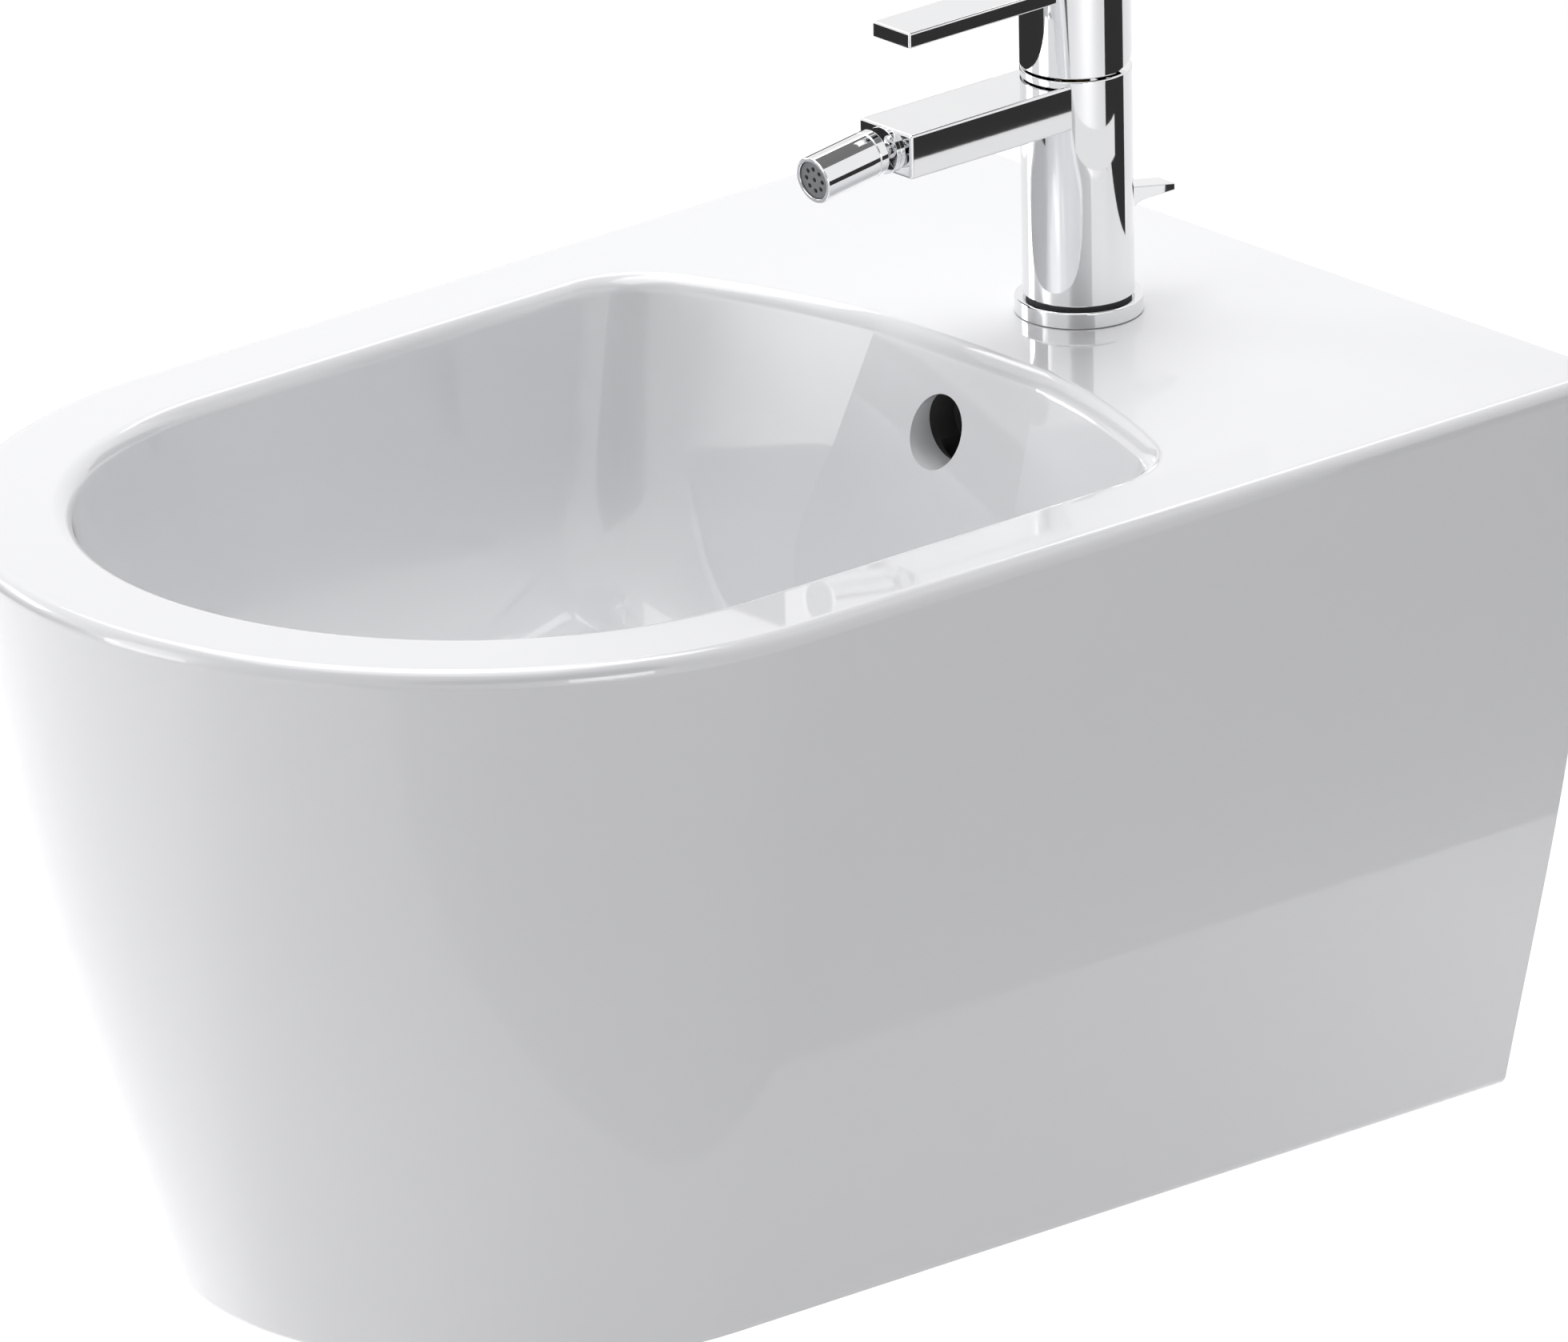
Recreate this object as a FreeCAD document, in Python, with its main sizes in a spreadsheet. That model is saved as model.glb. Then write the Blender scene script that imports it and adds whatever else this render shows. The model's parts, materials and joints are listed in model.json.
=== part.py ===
import FreeCAD, Part
import math
import operator
import os

import Sketcher

# A wall-hung bidet with its single-lever mixer tap and pop-up waste.
# Millimetres. The origin lies midway between the two wall studs, on the wall plane.
# +Z is up, the wall is the plane Y = 0 and the front of the bowl points to -Y.

SIZES = (
    # Ceramic body
    ("rim_width", 371.8, "width of the rim before its edge is rounded"),
    ("body_length", 571, "length from the wall at the rim before its edge is rounded"),
    ("body_height", 290, "height of the ceramic"),
    ("waist_drop", 145, "waist section below the rim"),
    ("waist_width", 322, "width at the waist section"),
    ("waist_length", 541.5, "length at the waist section"),
    ("foot_width", 246, "width at the foot"),
    ("foot_length", 494, "length at the foot"),
    ("deck_thickness", 14, "thickness of deck and rim"),
    ("skirt_wall", 12, "wall of the skirt"),
    ("back_wall", 14, "wall that lies on the room's wall"),
    ("bowl_wall", 11, "wall of the bowl"),
    ("floor_wall", 14, "floor of the bowl"),
    ("rim_edge_radius", 7, "rounding of the outer rim edge"),
    ("bowl_edge_radius", 6, "rounding of the bowl's edge"),
    ("foot_edge_radius", 4, "rounding of the foot edge"),
    ("side_rim", 39.9, "rim beside the bowl"),
    ("front_rim", 42, "rim before the bowl"),
    ("bowl_rear", 147, "bowl's rear edge from the wall"),
    # Bowl sections below the rim: drop, how far they draw in, and the rear wall's outline
    ("shoulder_drop", 42, "bowl section: drop"),
    ("shoulder_side", 8, "bowl section: drawn in at the sides"),
    ("shoulder_front", 12, "bowl section: drawn in at the front"),
    ("shoulder_rear", 15.5, "bowl section: drawn in at the rear"),
    ("wall_drop", 84, "bowl section: drop"),
    ("wall_side", 20, "bowl section: drawn in at the sides"),
    ("wall_front", 36, "bowl section: drawn in at the front"),
    ("wall_rear", 31, "bowl section: drawn in at the rear"),
    ("turn_drop", 120, "bowl section: drop"),
    ("turn_side", 0.61, "bowl section: its place at the sides, as a share of the way from floor to wall"),
    ("turn_front", 95, "bowl section: drawn in at the front"),
    ("turn_rear", 46, "bowl section: drawn in at the rear"),
    ("floor_drop", 140, "bowl floor: drop"),
    ("floor_side", 11.7, "bowl floor: flat beside the waste flange"),
    ("floor_front", 185, "bowl floor: drawn in at the front"),
    ("floor_rear", 64, "bowl floor: drawn in at the rear"),
    ("rear_curve", 310, "radius of the rear wall in plan"),
    ("turn_curve", 250, "radius of the rear wall in plan near the floor"),
    ("floor_curve", 120, "radius of the floor's rear edge"),
    ("rear_corner", 35, "radius of the bowl's rear corners at the rim"),
    ("shoulder_corner", 40, "radius of the bowl's rear corners below"),
    ("wall_corner", 45, "radius of the bowl's rear corners lower down"),
    ("floor_corner", 30, "radius of the floor's rear corners"),
    ("panel_top", 43, "half width of the flat overflow panel at the rim"),
    ("panel_foot", 54, "half width of the flat overflow panel at its foot"),
    ("panel_end", 10, "half width of the flat at the floor"),
    # Openings of the ceramic
    ("tap_setback", 91.5, "tap axis from the wall"),
    ("tap_hole_radius", 17.5, "tap hole"),
    ("overflow_radius", 13, "overflow hole"),
    ("overflow_drop", 30, "overflow hole below the rim"),
    ("waste_setback", 250, "waste axis from the wall"),
    ("waste_hole_radius", 23, "waste hole"),
    ("neck_radius", 37, "neck round the waste hole"),
    ("neck_drop", 42, "underside of the neck below the bowl's floor"),
    ("duct_width", 20, "overflow duct: inner width"),
    ("duct_depth", 12, "overflow duct: inner depth"),
    ("duct_wall", 9, "overflow duct: wall"),
    ("duct_top_drop", 17, "overflow duct: top below the rim"),
    ("duct_mouth_drop", 5, "underside of the neck below the overflow duct's foot"),
    ("window_width", 130, "pipe window in the back wall: width"),
    ("window_drop", 112, "pipe window: top below the rim"),
    # Wall fixing
    ("stud_drop", 80, "wall studs below the rim"),
    ("stud_spacing", 180, "distance between the wall studs"),
    ("stud_hole_radius", 10.2, "stud hole in the ceramic"),
    ("stud_bore", 6.2, "bore for an M12 wall stud"),
    ("sleeve_flange_radius", 15, "flange of the fixing sleeve"),
    ("sleeve_flange", 2, "thickness of that flange"),
    ("washer_radius", 14, "fixing washer"),
    ("washer_thickness", 2.5, "fixing washer"),
    ("fixing_nut_flats", 19, "fixing nut across flats"),
    ("fixing_nut_height", 10, "fixing nut"),
    # Tap body and base
    ("seal_thickness", 1.7, "seal under the tap's base ring"),
    ("seal_inner_radius", 17.9, "seal under the base ring"),
    ("seal_outer_radius", 21, "seal under the base ring"),
    ("ring_radius", 23.5, "base ring"),
    ("ring_height", 6, "base ring"),
    ("ring_lift", 0.2, "base ring above the deck"),
    ("spigot_radius", 15.3, "spigot that centres the tap in the deck"),
    ("spigot_length", 8, "spigot below the deck's top"),
    ("tap_radius", 20.4, "tap body"),
    ("tap_height", 93.5, "tap body above the deck"),
    ("shadow_depth", 1.2, "shadow groove above the base ring: depth"),
    ("shadow_height", 1.3, "shadow groove: height"),
    ("tap_edge", 0.6, "broken edges of body and handle"),
    ("spout_width", 28, "spout"),
    ("spout_thickness", 17, "spout"),
    ("spout_top", 92, "spout's top above the deck"),
    ("spout_reach", 92.5, "spout's end from the tap axis"),
    ("spout_edge", 1.2, "rounding of the spout"),
    ("spout_bore", 4.2, "waterway in the spout"),
    ("inlet_offset", 8.5, "inlets beside the tap axis"),
    ("inlet_radius", 4.5, "inlet socket for an M10 fine hose end"),
    ("inlet_depth", 13, "inlet socket"),
    ("passage_radius", 2.6, "water passages"),
    # Cartridge
    ("cartridge_floor", 60, "floor of the cartridge bore above the deck"),
    ("cartridge_radius", 13.9, "cartridge"),
    ("cartridge_gap", 0.3, "cartridge in its bore"),
    ("cartridge_wall", 1.7, "wall of the cartridge housing"),
    ("seat_height", 6, "cartridge base"),
    ("port_seal_radius", 4.2, "seal round an inlet port"),
    ("port_seal_height", 1.2, "seal round an inlet port"),
    ("fixed_disc_radius", 11.2, "fixed ceramic disc"),
    ("disc_thickness", 3.5, "ceramic discs"),
    ("moving_disc_radius", 9.4, "moving ceramic disc"),
    ("driver_radius", 7.5, "disc driver"),
    ("driver_height", 3.5, "disc driver"),
    ("socket_radius", 3.4, "socket in the disc driver"),
    ("tip_radius", 2.6, "lower tip of the stem"),
    ("housing_height", 22, "cartridge housing"),
    ("housing_top", 3, "top plate of the housing"),
    ("rotor_flange", 7, "height of the rotor's flange"),
    ("rotor_neck_radius", 9.1, "rotor's neck"),
    ("rotor_neck", 6.2, "height of the rotor's neck"),
    ("running_gap", 0.08, "running fit, on the radius"),
    ("slide_gap", 0.3, "clearance between pieces that move past each other"),
    ("pin_radius", 1.5, "stem pin"),
    ("pin_length", 20, "stem pin"),
    ("stem_width", 8, "cartridge stem, side to side"),
    ("stem_depth", 7, "cartridge stem, front to back"),
    ("stem_length", 31, "cartridge stem above its pin"),
    ("tip_gap", 0.8, "stem's tip above the moving disc"),
    ("riser_depth", 3, "riser from the cartridge to the spout"),
    ("lift_angle", 14, "lift of the lever"),
    ("nut_height", 4.5, "cartridge nut"),
    ("nut_bore", 10.2, "cartridge nut"),
    ("nut_notch", 3, "spanner notches of the cartridge nut"),
    # Handle
    ("handle_gap", 1, "gap between body and handle"),
    ("handle_height", 36.5, "handle hub"),
    ("handle_wall", 3.6, "handle hub's wall"),
    ("handle_roof", 12, "handle hub's top"),
    ("relief_angle", 15, "slanted underside at the back of the hub"),
    ("boss_radius", 8.6, "boss round the stem"),
    ("boss_drop", 18, "length of that boss"),
    ("lever_width", 20, "lever"),
    ("lever_thickness", 6, "lever"),
    ("lever_drop", 2, "lever below the hub's top"),
    ("lever_reach", 89, "lever's end from the tap axis"),
    ("lever_edge", 0.8, "rounding of the lever"),
    ("grub_radius", 2.1, "grub screw"),
    ("grub_length", 5.5, "grub screw"),
    ("grub_socket", 1.4, "grub screw's hexagon socket, from its middle to a corner"),
    ("grub_drop", 8, "grub screw above the boss's lower end"),
    ("cover_radius", 3, "cover plug over the grub screw"),
    ("cover_length", 2.4, "cover plug over the grub screw"),
    ("cover_sink", 0.3, "cover plug below the hub's surface"),
    # Ball-jointed nozzle
    ("thread_radius", 5, "ball stud's thread in the spout"),
    ("thread_length", 8, "ball stud's thread"),
    ("stud_flange", 2, "ball stud's flange"),
    ("stud_seal_outer", 7.6, "seal under that flange"),
    ("stud_seal_thickness", 1, "seal under that flange"),
    ("stud_neck_radius", 2.7, "ball stud's neck"),
    ("ball_distance", 9.4, "ball's centre from the spout's end"),
    ("ball_radius", 5.6, "ball of the nozzle joint"),
    ("stud_bore_radius", 1.6, "waterway in the ball stud"),
    ("seat_wall", 1.25, "shell of the ball seat"),
    ("seat_start", 30, "ball seat's front edge, angle from the stud's axis"),
    ("seat_end", 70, "ball seat's rear edge, angle from the stud's axis"),
    ("split_plane", 0.2, "joint of nozzle and collar before the ball's centre"),
    ("collar_open", 50, "half angle of the collar's rear opening"),
    ("nozzle_radius", 8.75, "nozzle"),
    ("nozzle_length", 26, "nozzle's tip from the ball's centre"),
    ("nozzle_droop", 7.5, "nozzle's slope at rest"),
    ("throat_radius", 2.5, "throat behind the ball"),
    ("throat_length", 2.5, "throat behind the ball"),
    ("chamber_radius", 7.2, "aerator chamber"),
    ("aerator_length", 13, "aerator insert"),
    ("aerator_sink", 0.8, "aerator below the nozzle's tip"),
    ("jet_radius", 0.9, "aerator's jets"),
    ("jet_circle", 4.2, "circle of the aerator's jets"),
    ("aerator_seal_wall", 2, "aerator seal"),
    ("nozzle_edge", 0.5, "broken edges of nozzle and collar"),
    # Fixing of the tap to the deck
    ("tap_stud_offset", 10.2, "tap's fixing stud before its axis"),
    ("tap_stud_radius", 4, "tap's fixing stud"),
    ("tap_stud_grip", 14, "stud's length in the tap"),
    ("tap_stud_free", 20, "stud below the clamp nut"),
    ("clamp_radius", 23, "clamp plate and its seal"),
    ("clamp_gap_width", 28, "opening of the clamp plate"),
    ("clamp_gap_front", 4.7, "opening's front edge before the tap axis"),
    ("clamp_seal_thickness", 3, "clamp seal"),
    ("clamp_plate_thickness", 2.5, "clamp plate"),
    ("clamp_nut_flats", 13, "clamp nut across flats"),
    ("clamp_nut_height", 6.5, "clamp nut"),
    # Pull tab, rod and linkage
    ("rod_offset", 12.5, "lift rod behind the tap axis"),
    ("rod_radius", 2, "lift rod"),
    ("slot_width", 5.4, "slot in the tap body"),
    ("slot_bottom", 24, "slot above the deck"),
    ("slot_top", 57.5, "slot above the deck"),
    ("tab_bottom", 33.6, "tab at the tap body above the deck"),
    ("tab_height", 9, "tab at the tap body"),
    ("tab_width", 9, "tab"),
    ("tab_reach", 43.5, "tab's tip from the tap axis"),
    ("tab_tip", 2.8, "tab's tip: thickness"),
    ("tab_droop", 4, "tab's tip below its root"),
    ("tab_gusset", 7, "tab's gusset: length"),
    ("tab_gap", 0.6, "tab behind the tap body"),
    ("tab_rod_grip", 6, "lift rod's length in the tab"),
    ("strap_top_drop", 128, "strap's clamp block below the rim"),
    ("strap_block", 12, "strap's clamp block"),
    ("strap_block_height", 16, "strap's clamp block"),
    ("strap_thickness", 2.5, "strap"),
    ("strap_tail", 12, "strap below the pivot rod"),
    ("strap_pitch", 13, "spacing of the strap's holes"),
    ("strap_hole_gap", 0.7, "strap's holes round the pivot rod"),
    ("strap_screw_radius", 2, "strap's screw"),
    ("strap_knob_radius", 5, "strap screw's head"),
    ("strap_knob", 5, "strap screw's head: length"),
    ("pivot_drop", 16, "pivot rod below the backnut"),
    ("pivot_arm", 33, "pivot ball from the waste axis"),
    ("pivot_rod_radius", 2.5, "pivot rod"),
    ("pivot_rod_front", 6, "pivot rod before the waste axis"),
    ("pivot_rod_rear", 12, "pivot rod behind the strap"),
    ("pivot_ball_radius", 5.5, "ball on the pivot rod"),
    ("clip_thickness", 0.8, "spring clip"),
    ("clip_width", 9, "spring clip"),
    ("clip_gap", 3.2, "spring clip's legs from the strap's middle"),
    ("clip_reach", 9, "spring clip's bend beside the rod"),
    # Waste fitting
    ("flange_radius", 31.5, "waste flange"),
    ("flange_thickness", 2.4, "waste flange"),
    ("flange_gap", 0.8, "waste flange in its recess"),
    ("top_seal_thickness", 1.2, "seal under the flange"),
    ("waste_radius", 20.9, "waste body"),
    ("waste_bore", 17.5, "waste body's bore"),
    ("shoulder_radius", 22.6, "waste body under its flange"),
    ("shoulder_height", 6, "waste body under its flange"),
    ("seat_radius", 23.5, "plug's seat in the flange"),
    ("seat_depth", 6, "plug's seat in the flange"),
    ("waste_bottom_drop", 24, "waste body's lower end below the pivot rod"),
    ("overflow_slot", 12, "overflow slot in the waste body: width"),
    ("port_radius", 11, "pivot port"),
    ("port_bore", 8, "pivot port's bore"),
    ("port_reach", 36, "pivot port's end from the waste axis"),
    ("pivot_seat_front", 7, "pivot seat before the ball's centre"),
    ("pivot_seat_bore", 4.5, "pivot seat's bore"),
    ("pivot_nut_radius", 13.5, "pivot nut"),
    ("pivot_nut_front", 3, "pivot nut before the ball's centre"),
    ("pivot_nut_rear", 9, "pivot nut behind the ball's centre"),
    ("pivot_nut_bore", 4.4, "pivot nut's hole"),
    ("lower_seal_radius", 34, "seal under the neck"),
    ("lower_seal_thickness", 4, "seal under the neck"),
    ("backnut_flats", 56, "backnut across flats"),
    ("backnut_height", 10, "backnut"),
    ("thread_gap", 0.2, "thread play"),
    ("tail_radius", 16, "tailpiece"),
    ("tail_wall", 1.7, "tailpiece"),
    ("tail_length", 40, "tailpiece below the waste body"),
    ("tail_grip", 10, "tailpiece in the waste body"),
    # Plug
    ("plug_radius", 24, "plug's head"),
    ("plug_thickness", 3, "plug's head"),
    ("plug_crown", 2, "dome of the plug's head"),
    ("plug_open", 3.8, "plug's head above its seat at rest"),
    ("plug_guide_radius", 17, "plug's guide"),
    ("plug_fin", 2.4, "plug's guide fins"),
    ("plug_stem_radius", 5, "plug's stem"),
    ("plug_loop", 7, "plug's loop round the pivot rod"),
    ("plug_loop_gap", 0.7, "plug's loop round the pivot rod"),
    ("plug_seal_radius", 21.4, "plug's seal"),
    ("plug_seal_height", 2.4, "plug's seal"),
    ("plug_seal_inner", 15.5, "plug's seal"),
    ("overcut", 1, "how far a cut runs past the face that it opens"),
)

X_AXIS = FreeCAD.Vector(1, 0, 0)
UP = FreeCAD.Vector(0, 0, 1)
SQUARE_TURN = 90
FULL_TURN = 360
HEXAGON_SIDE_COUNT = 6
NOTCH_COUNT = 4
JET_COUNT = 8
STRAP_HOLE_COUNT = 3
NEAR = 1e-3

doc = FreeCAD.newDocument("wall_hung_bidet")
sheet = doc.addObject("Spreadsheet::Sheet", "sizes")


# Sizes worked out from the sheet

class Size:
    """A size worked out from cells of the sheet: its formula and its present value."""

    def __init__(self, formula, value):
        self.formula = formula
        self.value = float(value)

    def __add__(self, other):
        return combine(self, "+", other)

    def __radd__(self, other):
        return combine(other, "+", self)

    def __sub__(self, other):
        return combine(self, "-", other)

    def __rsub__(self, other):
        return combine(other, "-", self)

    def __mul__(self, other):
        return combine(self, "*", other)

    def __rmul__(self, other):
        return combine(other, "*", self)

    def __truediv__(self, other):
        return combine(self, "/", other)

    def __rtruediv__(self, other):
        return combine(other, "/", self)

    def __neg__(self):
        return combine(0, "-", self)


SIGNS = {"+": operator.add, "-": operator.sub, "*": operator.mul, "/": operator.truediv}


def size_of(number):
    """The number as a Size, whether it comes from the sheet or is a plain count."""
    if isinstance(number, Size):
        return number
    return Size(f"({float(number)!r})", number)


def combine(left, sign, right):
    left = size_of(left)
    right = size_of(right)
    return Size(f"({left.formula} {sign} {right.formula})", SIGNS[sign](left.value, right.value))


def root(size):
    return Size(f"sqrt({size.formula})", math.sqrt(size.value))


def leg(longest, other):
    """The third side of a right-angled triangle."""
    return root(longest * longest - other * other)


def sine(angle):
    angle = size_of(angle)
    return Size(f"sin({angle.formula})", math.sin(math.radians(angle.value)))


def cosine(angle):
    angle = size_of(angle)
    return Size(f"cos({angle.formula})", math.cos(math.radians(angle.value)))


class Sizes:
    """The cells of the sheet by name."""


size = Sizes()
for row, (alias, value, meaning) in enumerate(SIZES, 1):
    sheet.set(f"A{row}", meaning)
    sheet.set(f"B{row}", str(value))
    sheet.setAlias(f"B{row}", alias)
    setattr(size, alias, Size(f"sizes.{alias}", value))
doc.recompute()


# Building blocks

def bind(thing, name, wanted):
    thing.setExpression(name, size_of(wanted).formula)


def put(thing, place, axis=UP, angle=0):
    """Place a piece, turned about an axis through its own origin."""
    x, y, z = (size_of(part) for part in place)
    angle = size_of(angle)
    thing.Placement = FreeCAD.Placement(
        FreeCAD.Vector(x.value, y.value, z.value), FreeCAD.Rotation(axis, angle.value))
    bind(thing, "Placement.Base.x", x)
    bind(thing, "Placement.Base.y", y)
    bind(thing, "Placement.Base.z", z)
    if angle.value:
        bind(thing, "Placement.Rotation.Angle", angle)


pieces = []


def new_piece(label, place=(0, 0, 0), axis=UP, angle=0, single=True):
    """A body of its own. A single piece is one node; the others are joined into a node later."""
    body = doc.addObject("PartDesign::Body", label)
    body.Label = label
    put(body, place, axis, angle)
    if single:
        pieces.append(body)
    return body


def origin_of(body, role):
    """A plane or an axis of the body's own origin."""
    for feature in body.Origin.OriginFeatures:
        if feature.Role == role:
            return feature


def attach(feature, body, role, across, up, out):
    """Seat a feature on an origin plane: in the plane at (across, up), and out along its normal."""
    feature.AttachmentSupport = [(origin_of(body, role), "")]
    feature.MapMode = "FlatFace"
    bind(feature, "AttachmentOffset.Base.x", across)
    bind(feature, "AttachmentOffset.Base.y", up)
    bind(feature, "AttachmentOffset.Base.z", out)


def arc_between(start, end, radius, way):
    """The short arc from start to end, turning left where way is 1 and right where it is -1."""
    middle = (start + end) * 0.5
    along = end - start
    half = along.Length / 2
    aside = FreeCAD.Vector(-along.y, along.x, 0).normalize()
    rise = math.sqrt(max(radius * radius - half * half, 0))
    centre = middle + aside * (way * rise)
    first, last = (start, end) if way > 0 else (end, start)
    angles = [math.atan2(point.y - centre.y, point.x - centre.x) for point in (first, last)]
    if angles[1] < angles[0]:
        angles[1] += math.tau
    return Part.ArcOfCircle(Part.Circle(centre, UP, radius), angles[0], angles[1])


def outline(body, name, role, corners, out=0):
    """A closed sketch of corners (across, up); from (across, up, radius, way) an arc runs to the next."""
    sketch = body.newObject("Sketcher::SketchObject", name)
    attach(sketch, body, role, 0, 0, out)
    points = [FreeCAD.Vector(size_of(corner[0]).value, size_of(corner[1]).value, 0) for corner in corners]
    starts = []
    ends = []
    for number, corner in enumerate(corners):
        begin = points[number]
        end = points[(number + 1) % len(points)]
        if len(corner) == 2:
            sketch.addGeometry(Part.LineSegment(begin, end))
            starts.append(1)
            ends.append(2)
        else:
            radius, way = corner[2:]
            sketch.addGeometry(arc_between(begin, end, size_of(radius).value, way))
            starts.append(1 if way > 0 else 2)
            ends.append(2 if way > 0 else 1)
    for number in range(len(corners)):
        following = (number + 1) % len(corners)
        sketch.addConstraint(
            Sketcher.Constraint("Coincident", number, ends[number], following, starts[following]))
    for number, corner in enumerate(corners):
        for kind, word, wanted in (("DistanceX", "across", corner[0]), ("DistanceY", "up", corner[1])):
            index = sketch.addConstraint(
                Sketcher.Constraint(kind, -1, 1, number, starts[number], size_of(wanted).value))
            sketch.renameConstraint(index, f"{word}_{number}")
            bind(sketch, f"Constraints.{word}_{number}", wanted)
        if len(corner) == 4:
            index = sketch.addConstraint(Sketcher.Constraint("Radius", number, size_of(corner[2]).value))
            sketch.renameConstraint(index, f"radius_{number}")
            bind(sketch, f"Constraints.radius_{number}", corner[2])
    return sketch


def turn(body, name, corners, cut=False):
    """Turn an outline of (radius, height) corners about the body's Z axis."""
    sketch = outline(body, f"{name}_outline", "XZ_Plane", corners)
    feature = body.newObject("PartDesign::Groove" if cut else "PartDesign::Revolution", name)
    feature.Profile = (sketch, [""])
    feature.ReferenceAxis = (sketch, ["V_Axis"])
    feature.Angle = FULL_TURN
    return feature


def turned(label, place, corners, axis=UP, angle=0, single=True):
    body = new_piece(label, place, axis, angle, single)
    turn(body, f"{label}_turned", corners)
    return body


def ring(inner, outer, low, high):
    """Corners of a plain ring for turn."""
    return ((inner, low), (outer, low), (outer, high), (inner, high))


def extrude(body, name, role, corners, width, cut=False):
    """Extrude an outline on an origin plane, by half the width to each side."""
    sketch = outline(body, f"{name}_outline", role, corners)
    feature = body.newObject("PartDesign::Pocket" if cut else "PartDesign::Pad", name)
    feature.Profile = (sketch, [""])
    feature.SideType = "Symmetric"
    bind(feature, "Length", width)
    return feature


def post(body, name, role, spot, out, radius, length, cut=False):
    """A cylinder standing on an origin plane, or the hole of that shape."""
    feature = body.newObject(f"PartDesign::{'Subtractive' if cut else 'Additive'}Cylinder", name)
    attach(feature, body, role, spot[0], spot[1], out)
    bind(feature, "Radius", radius)
    bind(feature, "Height", length)
    return feature


def block(body, name, low, high, cut=False):
    """A box between two corners, or the opening of that shape."""
    feature = body.newObject(f"PartDesign::{'Subtractive' if cut else 'Additive'}Box", name)
    attach(feature, body, "XY_Plane", *low)
    bind(feature, "Length", high[0] - low[0])
    bind(feature, "Width", high[1] - low[1])
    bind(feature, "Height", high[2] - low[2])
    return feature


def hexagon(body, name, out, flats, height):
    feature = body.newObject("PartDesign::AdditivePrism", name)
    feature.Polygon = HEXAGON_SIDE_COUNT
    attach(feature, body, "XY_Plane", 0, 0, out)
    bind(feature, "Circumradius", flats / root(size_of(3)))
    bind(feature, "Height", height)
    return feature


def round_edges(body, name, radius, chosen):
    """Round the edges of the body's last feature that the test picks."""
    doc.recompute()
    base = body.Tip
    edges = [f"Edge{number}" for number, edge in enumerate(base.Shape.Edges, 1) if chosen(edge)]
    feature = body.newObject("PartDesign::Fillet", name)
    feature.Base = (base, edges)
    bind(feature, "Radius", radius)
    return feature


def around(body, name, original, count):
    """Repeat a feature round the body's Z axis."""
    pattern = body.newObject("PartDesign::PolarPattern", name)
    pattern.Originals = [original]
    pattern.Axis = (origin_of(body, "Z_Axis"), [""])
    pattern.Angle = FULL_TURN
    pattern.Occurrences = count
    body.Tip = pattern
    return pattern


def pair(label, right):
    """A node of two equal pieces, one each side of the middle plane."""
    left = doc.addObject("Part::Mirroring", f"{label}_left")
    left.Source = right
    left.Normal = X_AXIS
    both = doc.addObject("Part::Compound", label)
    both.Label = label
    both.Links = [right, left]
    pieces.append(both)


def loft(body, name, sections, cut=False):
    feature = body.newObject("PartDesign::SubtractiveLoft" if cut else "PartDesign::AdditiveLoft", name)
    feature.Profile = (sections[0], [""])
    feature.Sections = sections[1:]
    return feature


# Places that several pieces share

rim = size.stud_drop
deck_under = rim - size.deck_thickness
foot = rim - size.body_height
tap_place = (0, -size.tap_setback, rim)
waste_place = (0, -size.waste_setback, rim)
rod_y = size.rod_offset - size.tap_setback
ring_top = size.ring_lift + size.ring_height
rear_lean = size.shoulder_rear / size.shoulder_drop
neck_depth = size.floor_drop + size.neck_drop
duct_foot = neck_depth - size.duct_mouth_drop - size.duct_wall
duct_mouth = duct_foot - size.duct_depth
backnut_depth = neck_depth + size.lower_seal_thickness + size.backnut_height
pivot_depth = backnut_depth + size.pivot_drop
waste_depth = pivot_depth + size.waste_bottom_drop
recess_radius = size.flange_radius + size.flange_gap


# Heights in the cartridge above the deck

base_top = size.cartridge_floor + size.seat_height
fixed_top = base_top + size.disc_thickness
moving_low = fixed_top + size.running_gap
moving_top = moving_low + size.disc_thickness
driver_top = moving_top + size.driver_height
housing_top = base_top + size.housing_height
housing_inner = size.cartridge_radius - size.cartridge_wall
rotor_flange_top = housing_top - size.housing_top - size.running_gap
rotor_low = rotor_flange_top - size.rotor_flange
pin_height = rotor_low + size.rotor_flange / 2
rotor_top = rotor_flange_top + size.rotor_neck
stem_top = pin_height + size.stem_length
tip_low = moving_top + size.tip_gap


# Ceramic body

ceramic = new_piece("ceramic_body")


def skirt_section(name, drop, width, length, rear):
    """A D-shaped section: straight sides and a half-round front."""
    half = width / 2
    straight = half - length
    corners = (
        (half, rear), (-half, rear), (-half, straight, half, 1), (0, -length, half, 1), (half, straight))
    return outline(ceramic, name, "XY_Plane", corners, rim - drop)


skirt_levels = (
    ("rim", size_of(0), size.rim_width, size.body_length),
    ("waist", size.waist_drop, size.waist_width, size.waist_length),
    ("foot", size.body_height, size.foot_width, size.foot_length),
)
loft(ceramic, "outer_form", [
    skirt_section(f"{name}_section", drop, width, length, size.back_wall)
    for name, drop, width, length in skirt_levels])
block(ceramic, "wall_plane", (-size.rim_width, size_of(0), foot - size.overcut),
      (size.rim_width, size.back_wall + size.overcut, rim + size.overcut), cut=True)
loft(ceramic, "hollow", [
    skirt_section(f"{name}_hollow", drop if name != "rim" else size.deck_thickness,
                  width - 2 * size.skirt_wall, length - size.skirt_wall, -size.back_wall)
    for name, drop, width, length in skirt_levels], cut=True)


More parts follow.
